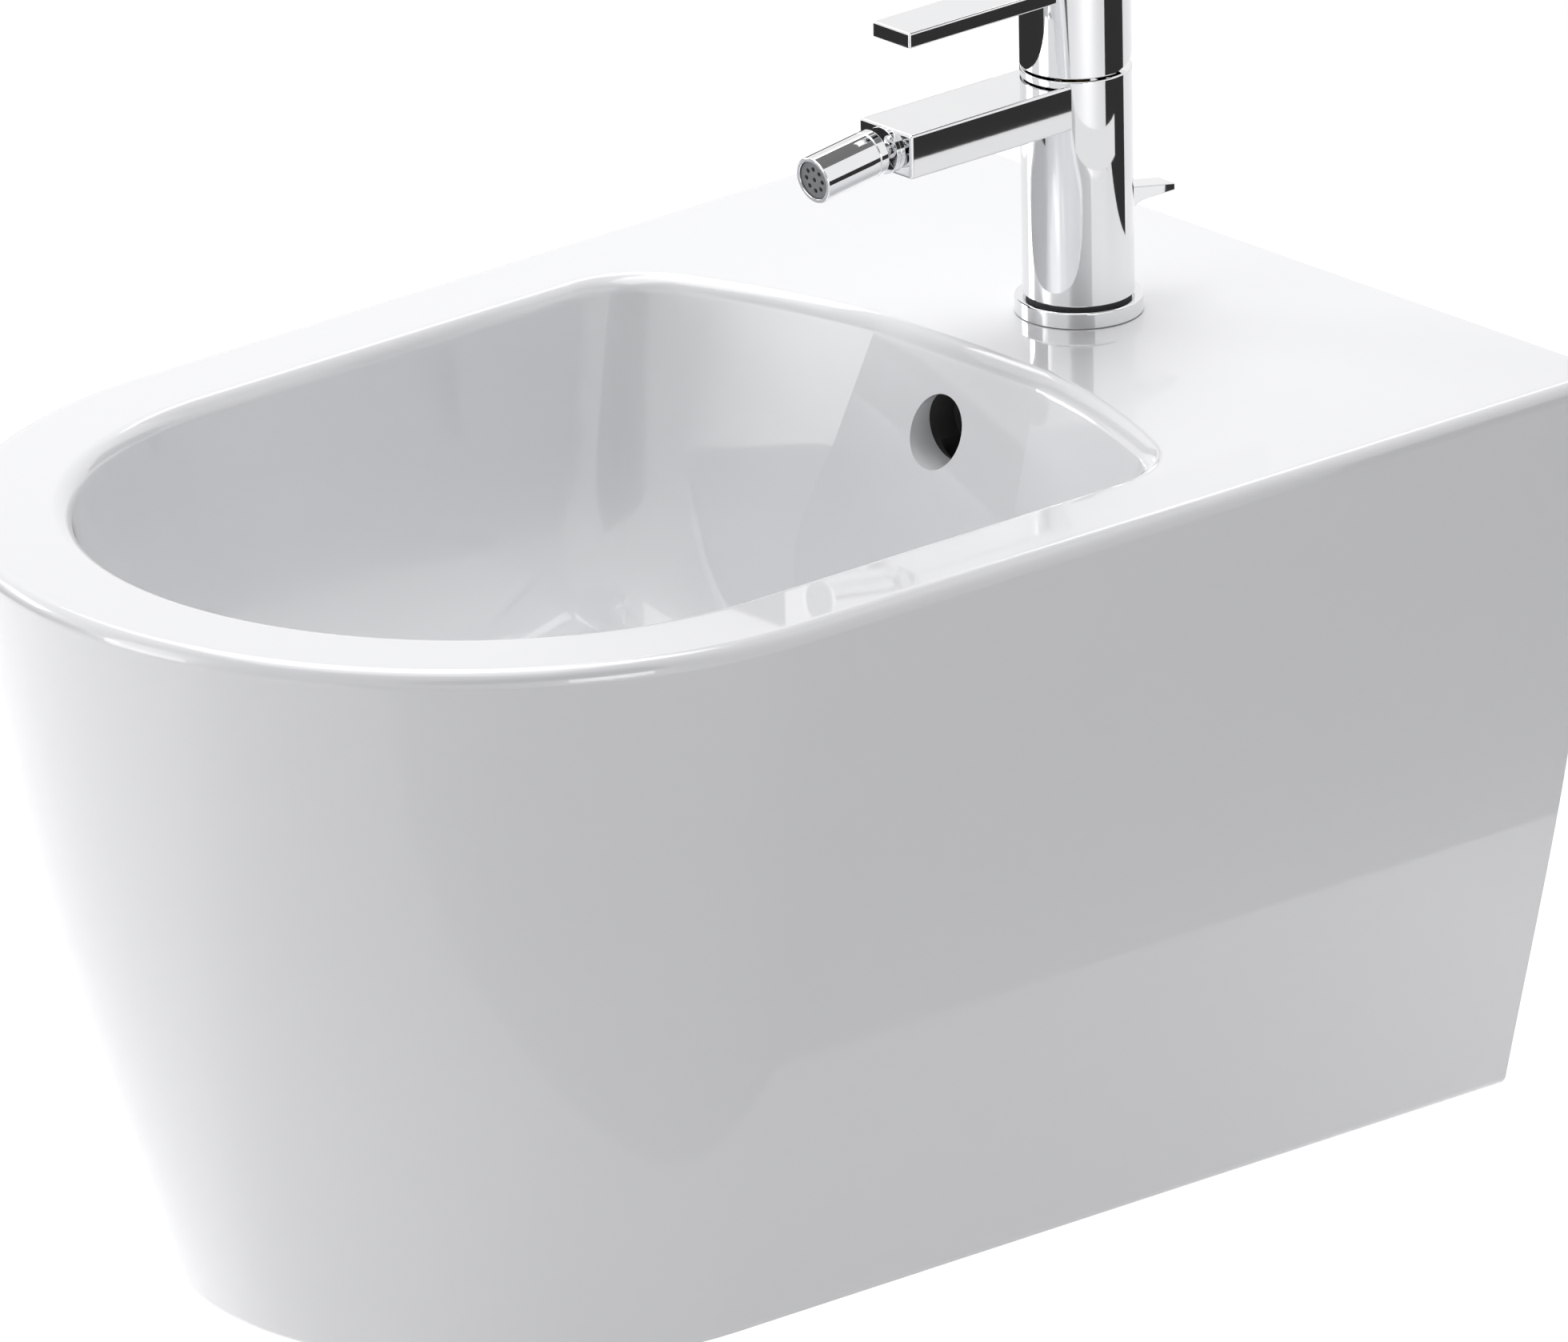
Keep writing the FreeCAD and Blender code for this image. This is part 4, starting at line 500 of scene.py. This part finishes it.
def makeCeramic():
    h = ceramicHoles
    wall = bowl["wall"]
    ceramic = loft("ceramicBody", skirtRings())
    ceramic.data.materials.append(finishes["ceramic"])
    # Second slot: painted shade for the inside of the overflow duct and hole.
    ceramic.data.materials.append(finishes["paintedDuctShade"])
    floorDepth = bowl["depth"][-1]
    footDepth = h["ductMouth"] + h["ductDepth"]
    ductFar = wall + h["ductDepth"]
    inside = -skirt["backWall"] - overcut
    cut(ceramic, loft("hollow", hollowRings()))
    join(ceramic, loft("bowlShell", shellRings()),
         rod("neck", wasteAxis, h["neckRadius"], -h["neckDepth"], -floorDepth, middleSegments),
         prism("ductShell", ductOutline(skirt["deck"] / 2, h["ductMouth"] - h["ductWall"],
                                        footDepth + h["ductWall"], wall / 2, ductFar + h["ductWall"]),
               h["ductHalf"] + h["ductWall"]))
    overflowY, overflowZ = behindBowl(h["overflowDepth"], 0.0)
    overflowAxis = facing((0.0, overflowY, overflowZ), (0.0, 1.0, 0.0))
    studAxes = [facing((side * h["studX"], 0.0, 0.0), (0.0, 1.0, 0.0)) for side in (-1, 1)]
    duct = prism("duct", ductOutline(h["ductTop"], h["ductMouth"], footDepth, wall, ductFar), h["ductHalf"])
    # The duct's faces take the painted shade.
    for face in duct.data.polygons:
        face.material_index = 1
    overflow = lathe("overflow", (
        (0.0, -wall), (h["overflowRadius"], -wall), (h["overflowRadius"], h["overflowShadeDepth"]),
        (h["overflowRadius"], wall + h["ductDepth"] / 2), (0.0, wall + h["ductDepth"] / 2)),
        overflowAxis, middleSegments, cutterPhase)
    # Past a short depth, the overflow hole's wall takes the painted shade too.
    for face in overflow.data.polygons:
        if face.center.y > overflowY + h["overflowShadeDepth"]:
            face.material_index = 1
    cut(ceramic, loft("bowlSpace", bowlRings()), duct, overflow,
        lathe("wasteHole", (
            (0.0, -h["neckDepth"] - overcut), (h["wasteRadius"], -h["neckDepth"] - overcut),
            (h["wasteRadius"], -h["recessDepth"]), (h["recessRadius"], -h["recessDepth"]),
            (h["recessRadius"], overcut - floorDepth), (0.0, overcut - floorDepth)),
            wasteAxis, middleSegments, cutterPhase),
        rod("tapHole", tapAxis, h["tapRadius"], -skirt["deck"] - overcut, overcut, middleSegments),
        *[rod("studHole", axis, h["studRadius"], inside, overcut) for axis in studAxes],
        slab("window", (-h["windowHalf"], inside, rimHeight - skirt["depth"][-1] - 3 * overcut),
             (h["windowHalf"], overcut, rimHeight - h["windowDepth"])))
    settle(ceramic, "china", ["ceramic_body"], "ceramic", glazeSharpAngle)


makeCeramic()
print("ceramic made")


# Tap: base ring, body with the square spout, handle with the flat lever

tap = {
    "radius": 0.0204, "top": 0.0935, "edge": 0.0006, "fineEdge": 0.0003,
    "spigotRadius": 0.0153, "spigotEnd": -0.008, "spigotEdge": 0.0004,
    "ringRadius": 0.0235, "ringLow": 0.0002, "ringTop": 0.0062, "ringBore": 0.0155,
    "sealRadius": 0.0212, "sealTop": 0.0017,
    "grooveRadius": 0.0192, "grooveTop": 0.0075,
    "spoutHalf": 0.014, "spoutLow": 0.075, "spoutTop": 0.092, "spoutReach": 0.0925,
    "spoutEdge": 0.0012, "spoutRoot": 0.0173,
    "bore": 0.0142, "boreFloor": 0.06,
    "waterway": 0.0042, "riserDepth": 0.003, "riserLow": 0.0689,
    "studBore": 0.0052, "studBoreLength": 0.008,
    "inletX": 0.0085, "inletRadius": 0.0045, "inletDepth": 0.013, "passage": 0.0026,
    "fixingY": -0.0102, "fixingRadius": 0.004, "fixingDepth": 0.014,
    "rodY": 0.0125, "rodRadius": 0.00208, "slotHalf": 0.0027, "slotLow": 0.024, "slotTop": 0.0575,
}


def tapPoint(x, y, z):
    return tapAxis @ Vector((x, y, z))


def upright(x, y):
    return Matrix.Translation(tapPoint(x, y, 0.0))


def makeBaseRing():
    t = tap
    ring = lathe("baseRing", (
        (t["ringBore"], t["sealTop"]), (t["sealRadius"], t["sealTop"]), (t["sealRadius"], t["ringLow"]),
        (t["ringRadius"], t["ringLow"], t["fineEdge"]), (t["ringRadius"], t["ringTop"], t["edge"]),
        (t["ringBore"], t["ringTop"])), tapAxis)
    settle(ring, "china", ["base_ring"], "chrome", metalSharpAngle)


def makeTapBody():
    t = tap
    body = lathe("tapBody", (
        (0.0, t["spigotEnd"]), (t["spigotRadius"], t["spigotEnd"], t["spigotEdge"]),
        (t["spigotRadius"], t["ringTop"]), (t["grooveRadius"], t["ringTop"]),
        (t["grooveRadius"], t["grooveTop"]), (t["radius"], t["grooveTop"], t["fineEdge"]),
        (t["radius"], t["top"], t["edge"]), (t["bore"], t["top"]),
        (t["bore"], t["boreFloor"]), (0.0, t["boreFloor"])), tapAxis)
    spout = slab("spout", tapPoint(-t["spoutHalf"], -t["spoutReach"], t["spoutLow"]),
                 tapPoint(t["spoutHalf"], 0.0, t["spoutTop"]), t["spoutEdge"])
    cut(spout, rod("spoutRoot", tapAxis, t["spoutRoot"], t["spoutLow"] - overcut, t["spoutTop"] + overcut,
                   middleSegments))
    join(body, spout)
    spoutMiddle = (t["spoutLow"] + t["spoutTop"]) / 2
    outflow = facing(tapPoint(0.0, 0.0, spoutMiddle), (0.0, -1.0, 0.0))
    below = t["spigotEnd"] - overcut
    cut(body, rod("rodBore", upright(0.0, t["rodY"]), t["rodRadius"], below, t["slotTop"] - overcut),
        slab("slot", tapPoint(-t["slotHalf"], t["rodY"] - t["slotHalf"], t["slotLow"]),
             tapPoint(t["slotHalf"], t["radius"] + overcut, t["slotTop"])),
        rod("fixingHole", upright(0.0, t["fixingY"]), t["fixingRadius"], below,
            t["spigotEnd"] + t["fixingDepth"]),
        slab("riser", tapPoint(-t["waterway"], -t["bore"] - t["riserDepth"], t["riserLow"]),
             tapPoint(t["waterway"], overcut - t["bore"], spoutMiddle)),
        rod("waterway", outflow, t["waterway"], t["bore"] - overcut, t["spoutReach"] - overcut),
        rod("studBore", outflow, t["studBore"], t["spoutReach"] - t["studBoreLength"],
            t["spoutReach"] + overcut))
    for side in (-1, 1):
        inletAxis = upright(side * t["inletX"], 0.0)
        cut(body, rod("inlet", inletAxis, t["inletRadius"], below, t["spigotEnd"] + t["inletDepth"]),
            rod("passage", inletAxis, t["passage"], t["spigotEnd"], t["boreFloor"] + overcut))
    body.data.materials.append(finishes["chrome"])
    # The groove above the base ring takes the black rubber finish as painted shade: a dark line where the
    # gap lies in shadow.
    body.data.materials.append(finishes["black_rubber"])
    for face in body.data.polygons:
        place = tapAxis.inverted() @ face.center
        if t["ringTop"] < place.z < t["grooveTop"] and place.xy.length > t["spigotRadius"]:
            face.material_index = 1
    settle(body, "china", ["tap_body"], "chrome", metalSharpAngle)


handle = {
    "low": 0.0945, "top": 0.131, "cavityTop": 0.119, "cavityRadius": 0.0168,
    "bossRadius": 0.0086, "bossLow": 0.101,
    "leverHalf": 0.01, "leverReach": 0.089, "leverRoot": -0.003,
    "leverLow": 0.123, "leverTop": 0.129, "leverEdge": 0.0008,
    "reliefAngle": math.radians(15),
    "socketX": 0.00408, "socketY": 0.00358, "socketTop": 0.1125,
    "screwHeight": 0.109, "screwRadius": 0.0021, "coverRadius": 0.003, "coverDepth": 0.0046,
}


def makeHandle():
    h, radius, edge = handle, tap["radius"], tap["edge"]
    hub = lathe("handleHub", (
        (0.0, h["bossLow"]), (h["bossRadius"], h["bossLow"]), (h["bossRadius"], h["cavityTop"]),
        (h["cavityRadius"], h["cavityTop"]), (h["cavityRadius"], h["low"]), (radius, h["low"], edge),
        (radius, h["top"], edge), (0.0, h["top"])), tapAxis)
    join(hub, slab("lever", tapPoint(-h["leverHalf"], -h["leverReach"], h["leverLow"]),
                   tapPoint(h["leverHalf"], h["leverRoot"], h["leverTop"]), h["leverEdge"]))
    reach = radius + overcut
    reliefTop = h["low"] + reach * math.tan(h["reliefAngle"])
    relief = [tapPoint(0.0, y, z) for y, z in (
        (0.0, h["low"]), (0.0, h["low"] - overcut), (reach, h["low"] - overcut), (reach, reliefTop))]
    screwAxis = facing(tapPoint(0.0, 0.0, h["screwHeight"]), (0.0, 1.0, 0.0))
    cut(hub, prism("relief", [(point.y, point.z) for point in relief], reach),
        slab("socket", tapPoint(-h["socketX"], -h["socketY"], h["bossLow"] - overcut),
             tapPoint(h["socketX"], h["socketY"], h["socketTop"])),
        rod("screwHole", screwAxis, h["screwRadius"], h["socketY"] - overcut, h["bossRadius"] + overcut),
        rod("coverHole", screwAxis, h["coverRadius"], radius - h["coverDepth"], radius + overcut))
    settle(hub, "handle", ["handle"], "chrome", metalSharpAngle)


makeBaseRing()
makeTapBody()
makeHandle()
print("tap made")


# Ball-jointed nozzle: stud in the spout, collar and nozzle round its ball

nozzle = {
    "ballY": -0.1019, "ballZ": 0.0835, "droop": math.radians(7.5),
    "radius": 0.00875, "edge": 0.0005, "split": 0.0002, "tip": 0.026,
    "ballRadius": 0.0056, "ballSteps": 24,
    "collarBore": 0.00568, "collarAngle": 130.0, "shellBore": 0.00701,
    "chamberRadius": 0.0072, "throatRadius": 0.0025, "throatLength": 0.0025,
    "endFace": -0.0094, "threadLength": 0.008, "threadRadius": 0.005,
    "sealStep": 0.001, "sealRadius": 0.0078, "studEdge": 0.0002, "tipEdge": 0.0003,
    "flangeFront": -0.0074, "neckRadius": 0.0027, "bore": 0.0016,
}


def onSphere(sphere, across):
    return math.degrees(math.asin(across / sphere))


def makeNozzle():
    n = nozzle
    ball = tapPoint(0.0, n["ballY"], n["ballZ"])
    straight = facing(ball, (0.0, -1.0, 0.0))
    drooped = facing(ball, (0.0, -math.cos(n["droop"]), -math.sin(n["droop"])))
    neckAngle = 180.0 - onSphere(n["ballRadius"], n["neckRadius"])
    threadEnd = n["endFace"] - n["threadLength"]
    stud = lathe("ballStud", (
        (n["bore"], threadEnd), (n["threadRadius"], threadEnd),
        (n["threadRadius"], n["endFace"] + n["sealStep"]), (n["sealRadius"], n["endFace"] + n["sealStep"]),
        (n["sealRadius"], n["endFace"]), (n["radius"], n["endFace"], n["studEdge"]),
        (n["radius"], n["flangeFront"], n["studEdge"]), (n["neckRadius"], n["flangeFront"]),
        *arc(n["ballRadius"], neckAngle, onSphere(n["ballRadius"], n["bore"]), n["ballSteps"])),
        straight, middleSegments)
    settle(stud, "china", ["ball_stud"], "chrome", metalSharpAngle)
    collarBack = n["collarBore"] * math.cos(math.radians(n["collarAngle"]))
    splitAngle = math.degrees(math.acos(n["split"] / n["collarBore"]))
    collar = lathe("ballCollar", (
        (n["radius"], collarBack, n["edge"]), (n["radius"], n["split"], n["edge"]),
        *arc(n["collarBore"], splitAngle, n["collarAngle"])), drooped, middleSegments)
    settle(collar, "nozzle", ["ball_collar"], "chrome", metalSharpAngle)
    throatAngle = onSphere(n["shellBore"], n["throatRadius"])
    chamberLow = n["shellBore"] * math.cos(math.radians(throatAngle)) + n["throatLength"]
    splitAngle = math.degrees(math.acos(n["split"] / n["shellBore"]))
    tube = lathe("sprayNozzle", (
        (n["radius"], n["split"], n["edge"]), (n["radius"], n["tip"], n["edge"]),
        (n["chamberRadius"], n["tip"], n["tipEdge"]),
        (n["chamberRadius"], chamberLow), (n["throatRadius"], chamberLow),
        *arc(n["shellBore"], throatAngle, splitAngle)), drooped, middleSegments)
    settle(tube, "nozzle", ["nozzle"], "chrome", metalSharpAngle)


makeNozzle()
print("nozzle made")


# Finger tab of the pop-up waste, behind the tap

tab = {
    "root": 0.021, "low": 0.0336, "top": 0.0426, "reach": 0.0435,
    "tip": 0.0028, "droop": 0.004, "gusset": 0.007,
    "half": 0.0045, "edge": 0.0005, "neckHalf": 0.0025, "rodRadius": 0.002, "rodTop": 0.0396,
}


def makeTab():
    t = tab
    barLow = t["top"] - t["droop"] - t["tip"]
    corners = [tapPoint(0.0, y, z) for y, z in (
        (t["root"], t["low"]), (t["root"] + t["gusset"], barLow), (t["reach"], barLow),
        (t["reach"], t["top"] - t["droop"]), (t["root"], t["top"]))]
    finger = prism("liftTab", [(corner.y, corner.z) for corner in corners], t["half"], t["edge"])
    join(finger, slab("neck", tapPoint(-t["neckHalf"], tap["rodY"] - t["neckHalf"], t["low"]),
                      tapPoint(t["neckHalf"], t["root"] + overcut, t["top"])))
    cut(finger, rod("rodHole", upright(0.0, tap["rodY"]), t["rodRadius"], t["low"] - overcut, t["rodTop"]))
    settle(finger, "lift", ["lift_tab"], "chrome", metalSharpAngle)


makeTab()
print("tab made")


# Pop-up plug in the bowl's floor: domed head, guide fins and the stem with its loop

plug = {
    "low": 0.1362, "radius": 0.024, "thickness": 0.003, "crown": 0.002, "edge": 0.0006,
    "sealHeight": 0.0024, "sealInner": 0.0155,
    "finRadius": 0.017, "finHalf": 0.0012, "finLow": 0.155,
    "stemRadius": 0.005, "stemLow": 0.219, "loopDepth": 0.212, "loopRadius": 0.0032,
}


def makePlug():
    p = plug
    top = p["thickness"] - p["low"]
    sealLow = -p["low"] - p["sealHeight"]
    domeRadius = p["radius"] ** 2 / (2 * p["crown"]) + p["crown"] / 2
    domeMiddle = top + p["crown"] - domeRadius
    domeArc = arc(domeRadius, onSphere(domeRadius, p["radius"]), 0.0)
    dome = [(across, domeMiddle + along) for across, along in domeArc]
    head = lathe("wastePlug", (
        (0.0, -p["stemLow"]), (p["stemRadius"], -p["stemLow"], p["edge"]), (p["stemRadius"], sealLow),
        (p["sealInner"], sealLow), (p["sealInner"], -p["low"]), (p["radius"], -p["low"], p["edge"]),
        *dome), wasteAxis)
    for halfX, halfY in ((p["finRadius"], p["finHalf"]), (p["finHalf"], p["finRadius"])):
        join(head, slab("fin", wasteAxis @ Vector((-halfX, -halfY, -p["finLow"])),
                        wasteAxis @ Vector((halfX, halfY, overcut / 2 + sealLow))))
    loopAxis = facing(wasteAxis @ Vector((0.0, 0.0, -p["loopDepth"])), (0.0, 1.0, 0.0))
    cut(head, rod("loop", loopAxis, p["loopRadius"], -2 * p["stemRadius"], 2 * p["stemRadius"]))
    settle(head, "plug", ["waste_plug"], "chrome", metalSharpAngle)


makePlug()
print("plug made")


# Studio: pale floor, white surroundings, soft lamps, and cards for what the chrome and the glaze mirror

studio = {
    "floorHeight": -0.45, "floorHalf": 6.0, "floorThickness": 0.01,
    "floorColor": (0.95, 0.95, 0.955), "floorDeep": 0.995, "floorPatch": 2.0, "floorDetail": 2.0,
    "floorRoughness": 0.9, "floorGlow": 0.25,
    "surroundings": 0.22,
    "aim": (0.0, -0.28, 0.0),
}
lamps = {
    "key": {"from": (-1.1, 0.7, 2.75), "size": 2.4, "power": 52.0},
    "overhead": {"from": (-0.3, -0.5, 3.0), "size": 2.4, "power": 34.0},
    "frontFill": {"from": (-0.9, -2.3, 0.0), "size": 0.8, "power": 8.0},
    "leftFill": {"from": (-2.2, -1.2, 0.7), "size": 0.8, "power": 11.5},
    "rightFill": {"from": (2.4, -0.9, 0.0), "size": 0.8, "power": 8.5},
}
cards = {
    "rightCard": {"low": (0.4, -1.7, -0.44), "high": (0.402, 1.1, -0.05), "fade": [("Y", -1.6, -0.5)]},
    "tapCard": {"low": (0.4, 0.046, -0.12), "high": (0.402, 0.583, 0.14)},
    "floorCard": {"low": (-0.35, -1.25, -0.447), "high": (0.95, 0.3, -0.445), "shade": 0.4,
                  "fade": [("Y", 0.28, 0.0), ("X", -0.3, 0.35)]},
    "leftCard": {"low": (-0.352, -0.92, -0.01), "high": (-0.35, -0.36, 0.155)},
    "cameraCard": {"low": (1.2, -2.5, 0.3), "high": (1.202, -0.4, 1.3), "fade": [("Y", -2.4, -1.4)]},
    "glazeCard": {"low": (-1.3, -2.202, 0.05), "high": (-0.25, -2.2, 1.2), "shade": 3.0,
                  "fade": [("X", -0.3, -0.9)]},
    "hubCard": {"low": (-0.15, -0.211, 0.112), "high": (-0.03, -0.209, 0.18)},
    "hubSideCard": {"low": (-0.101, -0.2, 0.135), "high": (-0.1, -0.05, 0.18)},
    "nozzleCard": {"low": (-0.4, -0.05, 0.75), "high": (0.35, 0.35, 0.752), "shade": 0.2},
    "tabCard": {"low": (0.03, -0.05, 0.1), "high": (0.031, -0.03, 0.112), "shade": 1.0},
    "spoutCard": {"low": (0.06, -0.15, 0.125), "high": (0.061, -0.055, 0.1405), "shade": 0.9},
}
darkShade = 0.035


def seenOrMirrored(tree):
    # One for what the camera, a mirror or a glass shows, and nothing for light.
    seen = tree.node("ShaderNodeLightPath", {}, {}, "Is Camera Ray")
    mirrored = tree.node("ShaderNodeLightPath", {}, {}, "Is Glossy Ray")
    passed = tree.node("ShaderNodeLightPath", {}, {}, "Is Transmission Ray")
    return seen.largest(mirrored).largest(passed)


def makeFloor():
    s = studio
    half = s["floorHalf"]
    under = s["floorHeight"] - s["floorThickness"]
    floor = slab("floor", (-half, -half, under), (half, half, s["floorHeight"]))
    material = bpy.data.materials.new("floor")
    tree = Tree(material)
    place = tree.node("ShaderNodeTexCoord", {}, {}, "Object")
    cloud = tree.node("ShaderNodeTexNoise", {}, {
        "Vector": place, "Scale": s["floorPatch"], "Detail": s["floorDetail"]})
    pale = s["floorColor"]
    tint = tree.node("ShaderNodeMix", {"data_type": "RGBA"}, {
        "Factor": cloud, "A": (*pale, 1.0), "B": (*[value * s["floorDeep"] for value in pale], 1.0)}, 2)
    glow = tree.node("ShaderNodeMix", {"data_type": "RGBA"}, {
        "Factor": seenOrMirrored(tree), "A": (0.0, 0.0, 0.0, 1.0), "B": tint}, 2)
    shader = tree.node("ShaderNodeBsdfPrincipled", {}, {
        "Base Color": tint, "Roughness": s["floorRoughness"],
        "Emission Color": glow, "Emission Strength": s["floorGlow"]})
    tree.node("ShaderNodeOutputMaterial", {}, {"Surface": shader})
    floor.data.materials.append(material)


def makeSurroundings():
    # White where it is seen directly or mirrored, and dimmer as a light.
    world = bpy.data.worlds.new("surroundings")
    scene.world = world
    tree = Tree(world)
    level = studio["surroundings"] + (1.0 - studio["surroundings"]) * seenOrMirrored(tree)
    light = tree.node("ShaderNodeBackground", {}, {"Color": (1.0, 1.0, 1.0, 1.0), "Strength": level})
    tree.node("ShaderNodeOutputWorld", {}, {"Surface": light})


def makeLamp(name, spec):
    lamp = bpy.data.lights.new(name, "AREA")
    lamp.shape = "SQUARE"
    lamp.size = spec["size"]
    lamp.energy = spec["power"]
    obj = bpy.data.objects.new(name, lamp)
    scene.collection.objects.link(obj)
    obj.matrix_world = facing(spec["from"], Vector(spec["from"]) - Vector(studio["aim"]))


def cardFinish(name, spec):
    # An even shade, which can fade in along an axis.
    material = bpy.data.materials.new(name)
    tree = Tree(material)
    cover = 1.0
    for axis, start, end in spec.get("fade", []):
        place = tree.node("ShaderNodeTexCoord", {}, {}, "Object")
        along = tree.node("ShaderNodeSeparateXYZ", {}, {"Vector": place}, axis)
        cover = cover * tree.node("ShaderNodeMapRange", {}, {
            "Value": along, "From Min": start, "From Max": end})
    shade = spec.get("shade", darkShade)
    shader = tree.node("ShaderNodeBsdfPrincipled", {}, {
        "Base Color": (0.0, 0.0, 0.0, 1.0), "Roughness": 1.0, "Specular IOR Level": 0.0,
        "Emission Color": (shade, shade, shade, 1.0), "Emission Strength": 1.0, "Alpha": cover})
    tree.node("ShaderNodeOutputMaterial", {}, {"Surface": shader})
    return material


def makeCard(name, spec):
    # A card that only mirrors see.
    card = slab(name, spec["low"], spec["high"])
    card.data.materials.append(cardFinish(name, spec))
    card.visible_camera = False
    card.visible_diffuse = False
    card.visible_transmission = False
    card.visible_shadow = False


makeFloor()
makeSurroundings()
for name, spec in lamps.items():
    makeLamp(name, spec)
for name, spec in cards.items():
    makeCard(name, spec)
print("studio made")


# Camera: far off with a long lens, so that the edges stay nearly parallel

shot = {
    "turn": math.radians(48.47), "rise": math.radians(19.81), "roll": math.radians(-0.8945),
    "target": (0.0, -0.285, 0.08), "asideBy": 0.03755, "belowBy": 0.08524, "distance": 20.0, "lens": 1278.3,
    "sensor": 36.0, "clipEnd": 200.0,
}


def makeCamera():
    s = shot
    back = Vector((math.sin(s["turn"]) * math.cos(s["rise"]), -math.cos(s["turn"]) * math.cos(s["rise"]),
                   math.sin(s["rise"])))
    level = Vector((math.cos(s["turn"]), math.sin(s["turn"]), 0.0))
    upward = back.cross(level)
    across = level * math.cos(s["roll"]) + upward * math.sin(s["roll"])
    along = upward * math.cos(s["roll"]) - level * math.sin(s["roll"])
    aim = Vector(s["target"]) + across * s["asideBy"] - along * s["belowBy"]
    camera = bpy.data.cameras.new("camera")
    camera.sensor_width = s["sensor"]
    camera.lens = s["lens"]
    camera.clip_end = s["clipEnd"]
    obj = bpy.data.objects.new("camera", camera)
    scene.collection.objects.link(obj)
    turned = Matrix((across, along, back)).transposed().to_4x4()
    obj.matrix_world = Matrix.Translation(aim + back * s["distance"]) @ turned
    scene.camera = obj


makeCamera()
scene.view_settings.view_transform = "Standard"
print("camera set")

bpy.context.view_layer.update()
